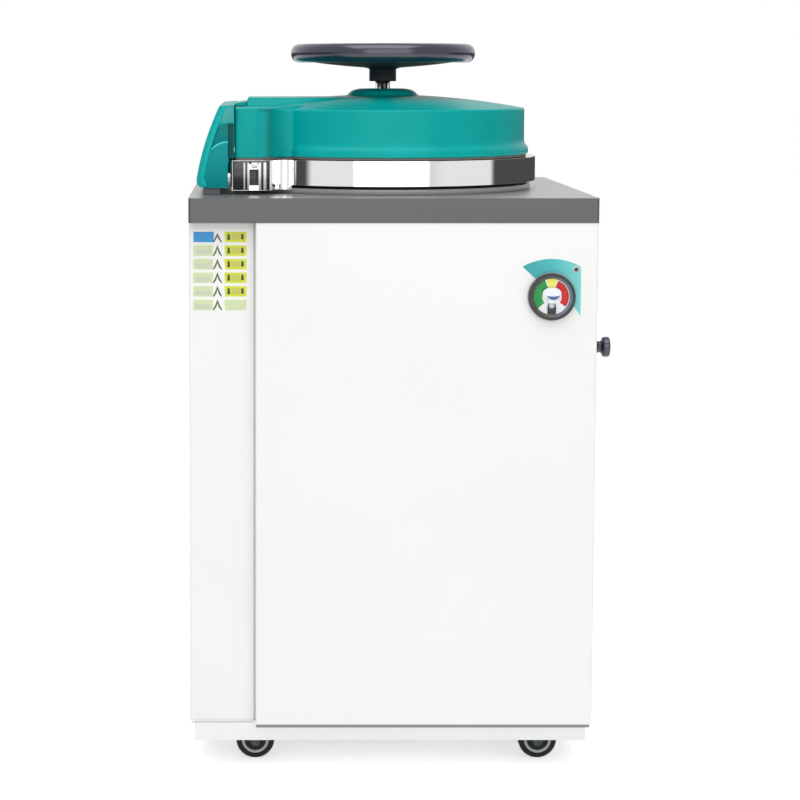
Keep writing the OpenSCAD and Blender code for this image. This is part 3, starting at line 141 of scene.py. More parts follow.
def turned_piece(name, profile, centre, steps, body, material, stands_for=(), axis="z", closed=True):
    """A profile of (radius, height) points turned about an axis through centre: one ring for each point.

    A closed profile makes a hollow ring, and an open one starts and ends on the axis.
    """
    profile = np.asarray(profile, float)
    turn = np.linspace(0, 2 * np.pi, steps, endpoint=False)
    across = profile[:, :1] * np.cos(turn)[None, :]
    along = profile[:, :1] * np.sin(turn)[None, :]
    up = np.broadcast_to(profile[:, 1:2], across.shape)
    order = {"z": (across, along, up), "y": (across, up, along), "x": (up, across, along)}[axis]
    rings = np.stack(order, -1) + np.asarray(centre, float)
    piece = loop_piece(name, rings) if closed else rings_piece(name, rings, caps=False)
    return finish_mesh(piece, body, material, stands_for)


def front_and_rear(body, slot, *thin_pieces):
    """Thin pieces, each a name, rings and a material, at the front, and their mirror images in Y at the rear."""
    for side, sign in (("front", 1), ("rear", -1)):
        for name, rings, material in thin_pieces:
            piece = rings_piece("%s_%s" % (name, side), np.asarray(rings, float) * (1, sign, 1))
            finish_mesh(piece, body, material, merge=THIN_MERGE)


def polar(reach, angle, height):
    """Points at a reach and an angle about Z, at a height, with the three broadcast together."""
    return np.stack(np.broadcast_arrays(reach * np.cos(angle), reach * np.sin(angle), height), -1)


def arc(centre, radius, start, end, steps):
    """Points on an arc from one angle to another, in degrees."""
    angle = np.radians(np.linspace(start, end, steps + 1))
    return np.stack([centre[0] + radius * np.cos(angle), centre[1] + radius * np.sin(angle)], -1)


def curve(first, pull, last, steps):
    """Points on a quadratic curve that leaves first towards pull and ends at last."""
    t = np.linspace(0, 1, steps + 1)[:, None]
    first, pull, last = (np.asarray(p, float) for p in (first, pull, last))
    return (1 - t) ** 2 * first + 2 * t * (1 - t) * pull + t ** 2 * last


def rounded(corners, radius, steps=4, closed=True):
    """A line of corners, each rounded by a quadratic curve that starts radius before it and ends radius after it."""
    corners = np.asarray(corners, float)
    radius = np.broadcast_to(np.asarray(radius, float), (len(corners),))
    out = []
    for index, corner in enumerate(corners):
        if (not closed and index in (0, len(corners) - 1)) or radius[index] == 0:
            out.append(corner[None, :])
            continue
        before, after = corners[index - 1], corners[(index + 1) % len(corners)]
        reach_back = min(radius[index], 0.5 * np.linalg.norm(before - corner))
        reach_on = min(radius[index], 0.5 * np.linalg.norm(after - corner))
        start = corner + (before - corner) / np.linalg.norm(before - corner) * reach_back
        end = corner + (after - corner) / np.linalg.norm(after - corner) * reach_on
        out.append(curve(start, corner, end, steps))
    return np.concatenate(out)


def outline_inset(outline, distance):
    """A closed outline moved inwards by a distance along the mean of its neighbouring edges' normals."""
    outline = np.asarray(outline, float)
    edge = np.roll(outline, -1, 0) - outline
    edge /= np.maximum(np.linalg.norm(edge, axis=1, keepdims=True), 1e-9)
    normal = np.stack([-edge[:, 1], edge[:, 0]], -1)
    mean = normal + np.roll(normal, 1, 0)
    mean /= np.maximum(np.sum(mean * normal, 1, keepdims=True), 0.3)
    area = 0.5 * np.sum(outline[:, 0] * np.roll(outline[:, 1], -1) - outline[:, 1] * np.roll(outline[:, 0], -1))
    return outline + mean * distance * np.sign(area)


def slab_rings(outline, low, high, edge, steps):
    """A plate across Y with rounded edges: its outline in X and Z is inset by a quarter circle at the two faces."""
    turn = np.radians(np.linspace(0, 90, steps + 1))
    levels = list(zip(low + edge * (1 - np.sin(turn)), edge * (1 - np.cos(turn))))
    rings = []
    for level, inset in levels[::-1] + [(high + low - level, inset) for level, inset in levels]:
        across, up = outline_inset(outline, inset).T
        rings.append(np.stack([across, np.full(len(across), level), up], -1))
    return np.array(rings)


SHARP = np.radians(30)


def edged_copy(node, body, material, width, segments=2):
    """A copy of a CAD node, its doubles merged and flat faces joined, with its sharp edges rounded by a bevel."""
    piece = bpy.data.objects.new(node + "_finish", frame["nodes"][node].data.copy())
    bpy.context.scene.collection.objects.link(piece)
    shell = bmesh.new()
    shell.from_mesh(piece.data)
    bmesh.ops.remove_doubles(shell, verts=shell.verts, dist=2e-6)
    bmesh.ops.dissolve_limit(shell, angle_limit=np.radians(0.4), verts=shell.verts, edges=shell.edges)
    shell.to_mesh(piece.data)
    shell.free()
    piece.data.materials.clear()
    piece.data.materials.append(material)
    bevel = piece.modifiers.new("edge", "BEVEL")
    bevel.width = width * MM
    bevel.segments = segments
    bevel.limit_method = "ANGLE"
    bevel.angle_limit = SHARP
    bevel.harden_normals = True
    bevel.use_clamp_overlap = True
    piece.data.shade_smooth()
    piece.data.set_sharp_from_angle(angle=SHARP)
    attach(piece, body)
    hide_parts(node)
    return piece


def paint_where(piece, second, test):
    """Gives a second material to the faces that pass a test of their centres, in millimetres, and normals."""
    piece.data.materials.append(second)
    polygons = piece.data.polygons
    centre, normal = np.empty(len(polygons) * 3), np.empty(len(polygons) * 3)
    polygons.foreach_get("center", centre)
    polygons.foreach_get("normal", normal)
    chosen = test(centre.reshape(-1, 3) / MM, normal.reshape(-1, 3))
    polygons.foreach_set("material_index", chosen.astype(np.int32))


# Material helpers

def linear(code):
    """An sRGB hex colour as linear red, green, blue and full alpha."""
    value = np.array([int(code[i:i + 2], 16) for i in (1, 3, 5)]) / 255
    value = np.where(value <= 0.04045, value / 12.92, ((value + 0.055) / 1.055) ** 2.4)
    return (*value.tolist(), 1.0)


def add_node(tree, kind, settings=None, links=None, values=None):
    """Adds a node, sets its properties and socket values, and links its inputs to other nodes' outputs."""
    node = tree.nodes.new(kind)
    for key, value in (settings or {}).items():
        setattr(node, key, value)
    for key, value in (values or {}).items():
        node.inputs[key].default_value = value
    for key, output in (links or {}).items():
        tree.links.new(output, node.inputs[key])
    return node


def set_stops(ramp, stops):
    """Gives a colour ramp its (place, linear colour) stops and returns the ramp's colour output."""
    elements = ramp.color_ramp.elements
    while len(elements) < len(stops):
        elements.new(0.5)
    for element, (at, colour) in zip(elements, stops):
        element.position, element.color = at, colour
    return ramp.outputs["Color"]


def plain_material(name, colour, roughness, **sockets):
    """A material with a Principled shader whose plain numbers are set on its own sockets."""
    material = bpy.data.materials.new(name)
    material.use_nodes = True
    shader = material.node_tree.nodes["Principled BSDF"]
    for socket, value in {"Base_Color": linear(colour), "Roughness": roughness, **sockets}.items():
        shader.inputs[socket.replace("_", " ")].default_value = value
    return material, material.node_tree, shader


def surface(name, colour, roughness, tint=None, gloss=None, bump=None, **sockets):
    """A material with up to three noise patterns in the object's own coordinates.

    tint is (grain, stop, stop) for the colour, gloss is (grain, low, high) for the roughness and bump is
    (grain, depth in mm, strength). A grain is (size in mm, detail), with a stretch along each axis where it has one.
    """
    material, tree, shader = plain_material(name, colour, roughness, **sockets)
    noise = {}
    for grain in (use[0] for use in (tint, gloss, bump) if use):
        if grain not in noise:
            size, detail, *stretch = grain
            place = add_node(tree, "ShaderNodeTexCoord")
            scale = add_node(tree, "ShaderNodeMapping", links={"Vector": place.outputs["Object"]},
                             values={"Scale": Vector(stretch or (1, 1, 1))})
            noise[grain] = add_node(tree, "ShaderNodeTexNoise", links={"Vector": scale.outputs["Vector"]},
                                    values={"Scale": 1 / (size * MM), "Detail": detail}).outputs["Fac"]
    if tint:
        ramp = add_node(tree, "ShaderNodeValToRGB", links={"Fac": noise[tint[0]]})
        stops = [(at, linear(code)) for at, code in tint[1:]]
        tree.links.new(set_stops(ramp, stops), shader.inputs["Base Color"])
    if gloss:
        spread = add_node(tree, "ShaderNodeMapRange", links={"Value": noise[gloss[0]]},
                          values={"To Min": gloss[1], "To Max": gloss[2]})
        tree.links.new(spread.outputs["Result"], shader.inputs["Roughness"])
    if bump:
        relief = add_node(tree, "ShaderNodeBump", links={"Height": noise[bump[0]]},
                          values={"Distance": bump[1] * MM, "Strength": bump[2]})
        tree.links.new(relief.outputs["Normal"], shader.inputs["Normal"])
    return material


def faded(name, colour, left, right, stops):
    """Satin enamel or ink whose colour fades along X, from left to right in millimetres."""
    material, tree, shader = plain_material(name, colour, 0.4)
    place = add_node(tree, "ShaderNodeTexCoord")
    parts = add_node(tree, "ShaderNodeSeparateXYZ", links={"Vector": place.outputs["Object"]})
    across = add_node(tree, "ShaderNodeMapRange", links={"Value": parts.outputs["X"]},
                      values={"From Min": left * MM, "From Max": right * MM})
    ramp = add_node(tree, "ShaderNodeValToRGB", links={"Fac": across.outputs["Result"]})
    tree.links.new(set_stops(ramp, [(at, linear(code)) for at, code in stops]), shader.inputs["Base Color"])
    return material


# Materials: grains in millimetres, and those finer than 0.8 mm on the real thing are drawn coarser, or they don't show

PEEL, CLOUD, WAVE, FLAKE = (2.2, 1), (220, 1), (60, 1), (0.9, 2)
FINE, MOULD, LEVEL_LINES = (1.5, 2), (1.6, 2), (1.5, 2, 0.05, 0.05, 1)
POLISH_CLOUD, POLISH_LINES, BRUSH = (60, 2), (1.2, 2, 0.02, 0.02, 1), (2.0, 3, 0.05, 0.05, 1)
SPANGLE, SATIN, SPARK, DUST = (8, 3), (3, 2), (0.8, 2), (6, 4)
MILK, STAIN, BAKED, LENS_CLOUD, FIBRE = (12, 2), (14, 3), (1.2, 2), (2, 1), (5, 5, 1, 1, 4)


def plate_paint(name, low, high):
    """Grey stoving enamel with a clear lacquer: flat grey from above, a bright sheen where the eye grazes it."""
    return surface(name, low, 0.4, Coat_Weight=0.8, Coat_Roughness=0.2, Coat_IOR=1.5,
                   tint=(FLAKE, (0.35, low), (0.62, high)), gloss=(FLAKE, 0.36, 0.46), bump=(FLAKE, 0.02, 0.2))


def teal_moulding(name, low, high):
    """Teal glass-fibre moulding with a gel coat: deep saturated colour under soft broad highlights."""
    return surface(name, low, 0.28, IOR=1.22, tint=(WAVE, (0.3, low), (0.7, high)), gloss=(MOULD, 0.26, 0.34),
                   bump=(MOULD, 0.02, 0.15))


def phenolic(name, rough, coat, low, high):
    """Black phenolic resin, compression moulded: buffed it has a strong cool sheen, as moulded it is nearly dull."""
    return surface(name, low, rough, Coat_Weight=coat, Coat_Roughness=0.14, Coat_IOR=1.6, Coat_Tint=linear("#C4C4E4"),
                   tint=(FINE, (0.3, low), (0.7, high)), gloss=(FINE, rough - 0.03, rough + 0.05),
                   bump=(FINE, 0.01, 0.15))


def print_ink(name, code, second, roughness=0.4):
    """Screen-printed ink or flat lacquer: one colour with a faint mottle."""
    return surface(name, code, roughness, tint=(SATIN, (0.3, code), (0.7, second)))


# White epoxy powder coat on sheet steel: a semi-gloss skin with a fine orange peel
WHITE = surface("white_powder_coat", "#F1F1F0", 0.34, Specular_IOR_Level=0.35, gloss=(PEEL, 0.32, 0.38),
                tint=(CLOUD, (0.3, "#F0F0EF"), (0.7, "#F2F2F1")), bump=(PEEL, 0.04, 0.25))
# The top plate's enamel on its edges, and two paler copies of it that are painted light: on the step round the neck,
# against the ring's shade, and on the upward faces, a painted sheen of the light from above
GREY = plate_paint("grey_stoving_enamel", "#434446", "#494A4C")
GREY_PAINTED_STEP_LIGHT = plate_paint("grey_enamel_painted_step_light", "#A8A8AB", "#AEAEB1")
GREY_PAINTED_TOP_LIGHT = plate_paint("grey_enamel_painted_top_light", "#7A7A7D", "#808083")
# The lid's gel coat, and lit and shaded copies of it for the tower: painted light on the cap, painted shade in the
# recess, on the cheek and in the gap, and painted highlights on the arch edge and rim
TEAL = teal_moulding("teal_gel_coat", "#009F9B", "#00A5A1")
TEAL_PAINTED_LIGHT_CAP = teal_moulding("teal_gel_coat_painted_light_cap", "#3E9F9E", "#46A7A5")
TEAL_PAINTED_SHADE_RECESS = teal_moulding("teal_gel_coat_painted_shade_recess", "#007C7E", "#008284")
TEAL_PAINTED_SHADE_CHEEK = teal_moulding("teal_gel_coat_painted_shade_cheek", "#008A8B", "#009091")
TEAL_PAINTED_SHADE_GAP = teal_moulding("teal_gel_coat_painted_shade_gap", "#004642", "#00504C")
TEAL_PAINTED_HIGHLIGHT_ARCH = teal_moulding("teal_gel_coat_painted_highlight_arch", "#3ACCCA", "#44D2D0")
TEAL_PAINTED_HIGHLIGHT_RIM = teal_moulding("teal_gel_coat_painted_highlight_rim", "#0FB6B4", "#16BCBA")
# Polished stainless steel, turned: a mirror with faint level polishing lines
POLISHED = surface("polished_stainless", "#FAFAFA", 0.06, Metallic=1.0, gloss=(POLISH_CLOUD, 0.04, 0.08),
                   bump=(POLISH_LINES, 0.01, 0.1))
# Brushed stainless steel sheet: dull silver with short fine scratches
BRUSHED = surface("brushed_stainless", "#B9BBBD", 0.34, Metallic=1.0, gloss=(BRUSH, 0.28, 0.42),
                  tint=(BRUSH, (0.35, "#AEB0B3"), (0.65, "#C2C4C6")), bump=(BRUSH, 0.02, 0.2))
# Dark grey satin steel with a dull level grain: painted dark reflection on the lug's cheek facing and the spindle's
# grooves, and painted shade behind the lug's window
STEEL_PAINTED_DARK = surface("steel_painted_dark_reflection_and_shade", "#3A3A3C", 0.36, Metallic=0.3, gloss=(LEVEL_LINES, 0.3, 0.42),
                    tint=(LEVEL_LINES, (0.35, "#343436"), (0.65, "#444446")))
# Dull zinc-plated steel on the casters: dark green-grey with a cloudy spangle
ZINC = surface("dull_zinc_plate", "#4C4E52", 0.42, Metallic=0.8, gloss=(SPANGLE, 0.34, 0.5),
               tint=(SPANGLE, (0.35, "#2C3434"), (0.65, "#424C4C")))
# Dark grey satin enamel on the hinge brackets
ENAMEL = surface("dark_grey_enamel", "#66686B", 0.38, tint=(SATIN, (0.35, "#616366"), (0.65, "#6B6D70")),
                 bump=(SATIN, 0.03, 0.3))
# The handwheel and knobs: buffed where hands and tools reach, dull as moulded under the wheel's web
PHENOLIC = phenolic("black_phenolic", 0.28, 1.0, "#1D1F27", "#23252E")
PHENOLIC_DULL = phenolic("moulded_phenolic", 0.6, 0.0, "#1A1D20", "#20242A")
# Matt black nylon, injection moulded with a fine spark-eroded grain
NYLON = surface("matt_black_nylon", "#1E1F22", 0.5, tint=(SPARK, (0.35, "#1A1B1E"), (0.65, "#242529")),
                bump=(SPARK, 0.05, 0.4))
# Black moulded rubber: dusty matt skin
RUBBER = surface("black_moulded_rubber", "#0C0C0D", 0.62, Specular_IOR_Level=0.3, gloss=(DUST, 0.5, 0.75),
                 tint=(DUST, (0.4, "#08080A"), (0.75, "#141416")), bump=(DUST, 0.08, 0.4))
# Pale grey polypropylene of the caster hubs, with a fine moulded grain
HUB = surface("pale_grey_polypropylene", "#B4B9B9", 0.42, tint=(FINE, (0.35, "#AEB3B3"), (0.65, "#BABFBF")))
# Milky silicone rubber: soft, slightly see-through
SILICONE = surface("milky_silicone", "#CFC8BA", 0.45, Subsurface_Weight=0.15, Subsurface_Radius=(0.002, 0.0018, 0.0014),
                   tint=(MILK, (0.35, "#C8C1B2"), (0.65, "#D6CFC2")))
# Machined brass with a light tarnish
BRASS = surface("machined_brass", "#C9A860", 0.28, Metallic=1.0, gloss=(STAIN, 0.22, 0.38),
                tint=(STAIN, (0.35, "#B9954F"), (0.65, "#D0B06A")))
# Dark baked enamel on the gauge's pressed bezel, with a satin gloss
BEZEL = surface("dark_bezel_enamel", "#222323", 0.34, Metallic=0.2, Coat_Weight=0.3, Coat_Roughness=0.25,
                tint=(BAKED, (0.35, "#222323"), (0.65, "#2A2B2B")), bump=(BAKED, 0.02, 0.25))
# Clear flat float glass
GLASS = plain_material("clear_gauge_glass", "#F4F8F8", 0.03, Transmission_Weight=1.0, IOR=1.5, Alpha=0.04)[0]
# Dark red acrylic lens of an unlit lamp
LENS = surface("dark_red_acrylic", "#4E0E12", 0.12, Coat_Weight=0.4,
               tint=(LENS_CLOUD, (0.3, "#440B0F"), (0.7, "#5C1217")))
# Mineral wool jacket: pale, fibrous and fully matt
WOOL = surface("mineral_wool", "#D9D3BE", 0.95, tint=(FIBRE, (0.3, "#C9C2AA"), (0.7, "#E4DFCD")),
               bump=(FIBRE, 0.8, 0.6))
# Decal ink that fades from deep teal at the left to pale aqua at the right
SAIL = faded("teal_decal_ink", "#2AA5AA", 178, 258, [(0.0, "#27A0A6"), (0.5, "#48B7B9"), (1.0, "#7CD2D2")])
# Satin enamel on the bezel's inner cone, from warm dark grey through olive to blue-grey along X: painted shade of the
# bezel, and a painted reflection on the right
CONE_PAINTED_SHADE_AND_REFLECTION = faded("cone_enamel_painted_shade_and_reflection", "#4C4A49", GAUGE_X - 27, GAUGE_X + 27,
             [(0.0, "#4A4644"), (0.45, "#5A584F"), (0.8, "#5F7386"), (1.0, "#6A8296")])
# Pale glossy enamel on the lug's beads: painted highlights, the glints of the polished lug, so they stand out from the
# dark facing
ENAMEL_PAINTED_GLINT = print_ink("enamel_painted_glint", "#E9E9EB", "#F2F2F3", 0.12)
# White vinyl film under the label's print: satin
PAPER = print_ink("label_vinyl", "#F2F3EF", "#F0F1ED", 0.45)
# Grey extruded rubber of the cover's lip: flat and dull
LIP = print_ink("grey_lip_rubber", "#6E6763", "#77706C", 0.6)
# White stoved enamel of the dial: clean, with a faint mottle
DIAL_WHITE = print_ink("dial_enamel_white", "#F4F5F5", "#EDEFF0", 0.45)
# Blue vinyl dipped over the drain lever: smooth, with a soft gloss
BLUE_DIP = print_ink("blue_dipped_vinyl", "#1F5FA8", "#1B569A", 0.35)
# Pale moulded plastic of the lamp's flange
LAMP_RING = print_ink("pale_lamp_flange", "#C9DCDA", "#D2E2E0", 0.35)
# Matt grey paint standing for the dark gaps: painted shade in the seam and under the strip, and darker painted shade
# under the front panel
GREY_PAINTED_GAP_SHADE = print_ink("matt_grey_painted_gap_shade", "#C2C2C1", "#C8C8C7", 0.5)
GREY_PAINTED_PANEL_SHADE = print_ink("matt_grey_painted_panel_shade", "#8E8D8C", "#949392", 0.5)


# Cabinet: painted sheet pieces are copies of the solids with their folded edges rounded

def cabinet_skin():
    """Sheet pieces with 1.2 mm folds, and the top plate, whose upward faces have a paler copy of its enamel: painted
    light from above.
    """
    for node in ("base_tray", "left_panel", "right_panel", "back_panel", "front_panel", "front_strip"):
        edged_copy(node, "cabinet", WHITE, 1.2)
    plate = edged_copy("top_plate", "cabinet", GREY, 1.6, segments=3)
    # The upward faces get the paler copy of the enamel: painted light, the sheen of the light from above.
    paint_where(plate, GREY_PAINTED_TOP_LIGHT, lambda centre, normal: normal[:, 2] > 0.9)


cabinet_skin()


# Locking ring and the parts round it

RING_BORE = 204.3
RING_END_LEFT, RING_END_FRONT, RING_CORNER = 224.0, 198.0, 26.0
RING_CORNER_X = RING_END_LEFT - 42.0


def ring_parts():
    """The ring and its hinge brackets are the solids with their edges rounded."""
    edged_copy("locking_ring", "cabinet", POLISHED, 1.0, segments=3)
    edged_copy("hinge_brackets", "cabinet", ENAMEL, 1.2)


def collar_piece():
    """Turned about Z: the grey step on the plate, in a paler copy of the plate's enamel that is painted light against
    the shade under the ring, and inside it a dark neck under the ring's edge, whose black rubber is painted shade that
    deepens the shadow in the gap.
    """
    collar_low, collar_high = span("ring_collar")
    outer, low, high = collar_high[0], collar_low[2], collar_high[2]
    neck = outer - 6.0
    step_top = high - 4.4
    step = rounded([(outer, low), (outer, step_top), (neck - 1, step_top), (neck - 1, low)], [0, 1.6, 0, 0], 4)
    # The step's paler enamel is painted light, making up for the shade under the ring.
    turned_piece("collar_step", step, (0, 0, 0), 192, "cabinet", GREY_PAINTED_STEP_LIGHT, ("ring_collar",))
    inner = 0.5 * (neck + RING_BORE)
    profile = [(neck, low + 1), (neck, high - 0.05), (inner, high - 0.05), (inner, low + 1)]
    # The neck's black rubber is painted shade: it darkens the line under the ring along with the real shadow in the
    # gap.
    turned_piece("collar_neck", profile, (0, 0, 0), 192, "cabinet", RUBBER)


def lug_face(x):
    """Front of the ring's square end, as Y for each X: flat, then round the corner's arc."""
    past = np.clip(np.asarray(x, float) + RING_CORNER_X, 0, RING_CORNER)
    return -RING_END_FRONT + RING_CORNER - np.sqrt(RING_CORNER ** 2 - past ** 2)


def lug_strip(name, left, right, low, high, proud, material, domed=0.0):
    """A thin facing that follows the lug's front from left to right. Domed ones swell towards their middle."""
    steps = 12
    x = np.linspace(left, right, steps)
    swell = domed * np.sqrt(np.maximum(1 - np.linspace(-1, 1, steps) ** 2, 0))
    outer = np.stack([x, lug_face(x) - proud - swell], -1)
    inner = np.stack([x[::-1], lug_face(x[::-1]) + 0.4], -1)
    outline = np.concatenate([outer, inner])
    rings = [np.column_stack([outline, np.full(len(outline), z)]) for z in (low, high)]
    front_and_rear("cabinet", "polished_steel", ("lug_" + name, rings, material))


def lug_dress():
    """The lug's dark facing round the pin's window, with bright upright beads on it. The facing is painted dark
    reflection, the beads are painted highlights of the polished lug, and the window's back is painted shade.
    """
    low, high = RING_LOW[2], RING_HIGH[2]
    facing, bead, bead_top = 0.35, 0.5, high - 2.6
    # The dark steel facing is painted dark reflection of the polished lug.
    lug_strip("facing", -220.4, -197.4, low + 0.4, high - 0.4, facing, STEEL_PAINTED_DARK)
    lug_strip("facing_top", -197.4, -183.6, high - 5.4, high - 0.4, facing, STEEL_PAINTED_DARK)
    lug_strip("facing_right", -183.8, -168.6, low + 0.4, high - 0.4, facing, STEEL_PAINTED_DARK)
    # The beads' pale enamel is painted highlight.
    lug_strip("bead_left", -205.4, -203.0, low + 1.0, high - 3.0, bead, ENAMEL_PAINTED_GLINT, 1.2)
    lug_strip("bead_middle", -200.2, -197.2, low + 1.0, high - 3.0, bead, ENAMEL_PAINTED_GLINT, 1.4)
    lug_strip("bead_pad", -194.4, -185.4, high - 11.0, bead_top, bead, ENAMEL_PAINTED_GLINT, 1.6)
    lug_strip("bead_right", -184.6, -180.6, low + 0.6, bead_top, bead, ENAMEL_PAINTED_GLINT, 1.8)
    lug_strip("bead_corner", -177.6, -173.2, low + 0.8, bead_top, bead, ENAMEL_PAINTED_GLINT, 1.8)
    window_back, left, right = -RING_END_FRONT + 7.4, -196.9, -184.1
    sheet = [(left, low + 0.6), (right, low + 0.6), (right, low + 29.2), (left, low + 29.2)]
    rings = slab_rings(sheet, window_back - 0.1, window_back + 0.2, 0.05, 1)
    front_and_rear("cabinet", "polished_steel", ("lug_window", rings, STEEL_PAINTED_DARK))


ring_parts()
collar_piece()
lug_dress()


# Lid cover: one moulded shell

SHELL_WALL = 3.0
BEAD_PROUD = 6.0
DOME_RISE = 19.4
COVER_RADIUS = COVER_HIGH[1] - BEAD_PROUD
COVER_BOTTOM = COVER_LOW[2]
SHOULDER_Z = COVER_BOTTOM + 66.5
DOME_TOP = SHOULDER_Z + DOME_RISE
DOME_REACH = COVER_RADIUS - 1.5
DOME_SPHERE = (DOME_REACH ** 2 + DOME_RISE ** 2) / (2 * DOME_RISE)
LOBE_TOP = SHOULDER_Z + 3.0
LOBE_LEFT, LOBE_FRONT, LOBE_EDGE = 218.0, 196.0, 4.0
LOBE_CORNER, LOBE_CORNER_X, LOBE_CORNER_TURN = 24.0, 182.0, 70.0
LOBE_FILLET_X, LOBE_FILLET_PULL = 138.0, 14.0
BEAD_STARTS, BEAD_IS_FULL = 48, 53


def end_outline():
    """Front half of the square hinge end, from the left face round the corner and the hollow fillet to the circle."""
    last = np.array([-LOBE_FILLET_X, -np.sqrt(COVER_RADIUS ** 2 - LOBE_FILLET_X ** 2)])
    pulled = last + np.array([last[1], -last[0]]) * LOBE_FILLET_PULL / COVER_RADIUS
    edge = arc((-LOBE_LEFT + LOBE_EDGE, -LOBE_FRONT + LOBE_EDGE), LOBE_EDGE, 180, 270, 5)
    corner = arc((-LOBE_CORNER_X, -LOBE_FRONT + LOBE_CORNER), LOBE_CORNER, -90, LOBE_CORNER_TURN - 90, 10)
    return np.concatenate([[[-LOBE_LEFT, 0]], edge, corner, curve(corner[-1], pulled, last, 8)[1:]])


def from_left(angle):
    """Degrees between a bearing about Z and the hinge side."""
    return np.abs((np.degrees(angle) + 360) % 360 - 180)


def cover_radius_at(angle):
    """The shell's outline as a radius for each angle: the round wall, or the hinge end where that reaches further."""
    half = end_outline()
    fine = np.concatenate([np.linspace(a, b, 24, endpoint=False) for a, b in zip(half[:-1], half[1:])] + [half[-1:]])
    bearing = np.degrees(np.arctan2(-fine[:, 1], -fine[:, 0]))
    order = np.argsort(bearing)
    reach = np.interp(from_left(angle), bearing[order], np.hypot(fine[:, 0], fine[:, 1])[order])
    return np.where(from_left(angle) <= bearing.max(), reach, COVER_RADIUS)


def smooth_max(a, b, blend):
    """The larger of two heights, with a fillet of about the blend's size where they cross."""
    return 0.5 * (a + b + np.sqrt((a - b) ** 2 + blend ** 2))


def smooth_step(value, low, high):
    """0 up to low, 1 from high on, and 3t^2 - 2t^3 between them."""
    t = np.clip((value - low) / (high - low), 0, 1)
    return t * t * (3 - 2 * t)


def bead_share(angle):
    """1 where the wall is round and carries the bead, 0 on the square hinge end."""
    return smooth_step(from_left(angle), BEAD_STARTS, BEAD_IS_FULL)


def cover_height(x, y):
    """Height of the shell's top: a shallow sphere, the hinge end's flat lobes, the flat spine and the round boss."""
    reach = np.hypot(x, y)
    dome = DOME_TOP - DOME_SPHERE + np.sqrt(DOME_SPHERE ** 2 - np.minimum(reach, 320) ** 2)
    lobe_ends, lobe_gone, sunk = -150, -128, 30
    height = smooth_max(dome, LOBE_TOP - sunk * smooth_step(x, lobe_ends, lobe_gone), 1.2)
    spine_half, spine_left, spine_right, spine_fade, spine_sunk = 85.0, -201.0, -60.0, 26, 26
    inside = np.minimum(np.minimum(x - spine_left, spine_half - np.abs(y)), spine_right - x + spine_fade)
    spine = DOME_TOP - 3.8 - spine_sunk * (1 - smooth_step(inside, -4.5, 1.5))
    height = smooth_max(height, spine, 0.8)
    boss_reach = np.array([0, 30, 33, 36, 39, 42, 45, 48, 51, 53, 55, 57.5, 60])
    boss_rise = np.array([9.0, 9.0, 8.9, 8.5, 7.9, 7.1, 6.0, 4.0, 1.0, -1.2, -3.6, -7.5, -12])
    boss = DOME_TOP + np.interp(reach, boss_reach, boss_rise)
    return smooth_max(height, np.where(reach < boss_reach[-1], boss, height + boss_rise[-1]), 0.7)


def lid_shell():
    """Rings from the shaft hole outwards over the top, round the shoulder and down the wall to the bead."""
    columns, fillet, hole = 576, 2.6, 12.1
    angle = np.linspace(0, 2 * np.pi, columns, endpoint=False)
    edge = cover_radius_at(angle)
    across = hole + np.linspace(0, 1, 118)[:, None] ** 0.85 * (edge - fillet - hole)
    top = polar(across, angle, cover_height(across * np.cos(angle), across * np.sin(angle)))
    rim_height = top[-1, :, 2]
    turn = np.radians(np.linspace(0, 90, 7))[1:, None]
    shoulder = polar(edge - fillet + fillet * np.sin(turn), angle, rim_height - fillet * (1 - np.cos(turn)))
    drop_to = np.array([0.97, 0.8, 0.55, 0.36, 0.29, 0.25, 0.22, 0.19, 0.165, 0.14, 0.1, 0.05, 0.012, 0.0])
    flare = BEAD_PROUD * np.array([0, 0, 0, 0, 0.02, 0.1, 0.28, 0.55, 0.78, 0.92, 0.98, 1.0, 0.96, 0.82])
    wall = polar(edge + flare[:, None] * bead_share(angle), angle,
                 COVER_BOTTOM + drop_to[:, None] * (rim_height - fillet - COVER_BOTTOM))
    rings = np.concatenate([top, shoulder, wall])
    centre = 0.25 * (rings[:-1] + rings[1:] + np.roll(rings, -1, 1)[:-1] + np.roll(rings, -1, 1)[1:])
    window_x, window_half, window_top = -210, 88, 890
    window = (centre[..., 0] < window_x) & (np.abs(centre[..., 1]) < window_half) & (centre[..., 2] < window_top)
    faces = [face for face, open_here in zip(grid_faces(len(rings), columns), window.ravel()) if not open_here]
    piece = new_piece("lid_shell", rings.reshape(-1, 3), faces)
    finish_mesh(piece, "lid", TEAL, ("lid_cover",))
    shell = bmesh.new()
    shell.from_mesh(piece.data)
    bmesh.ops.delete(shell, geom=[v for v in shell.verts if not v.link_faces], context="VERTS")
    if sum(f.normal.z for f in shell.faces) < 0:
        bmesh.ops.reverse_faces(shell, faces=shell.faces)
    shell.to_mesh(piece.data)
    shell.free()
    wall = piece.modifiers.new("wall", "SOLIDIFY")
    wall.thickness = SHELL_WALL * MM
    wall.offset = -1


def cover_lip():
    """A grey rubber lip under the shell's edge, following its outline just inside the bead."""
    angle = np.linspace(0, 2 * np.pi, 360, endpoint=False)
    edge = cover_radius_at(angle) + (BEAD_PROUD - 1.6) * bead_share(angle) - 1.4
    low, high = RING_HIGH[2] + 0.45, COVER_BOTTOM + 0.4
    section = ((0.6, low), (0.0, low + 0.8), (0.0, high), (3.0, high), (3.0, low))
    rings = [polar(edge - inset, angle, z) for inset, z in section]
    finish_mesh(loop_piece("cover_lip", rings), "lid", LIP)


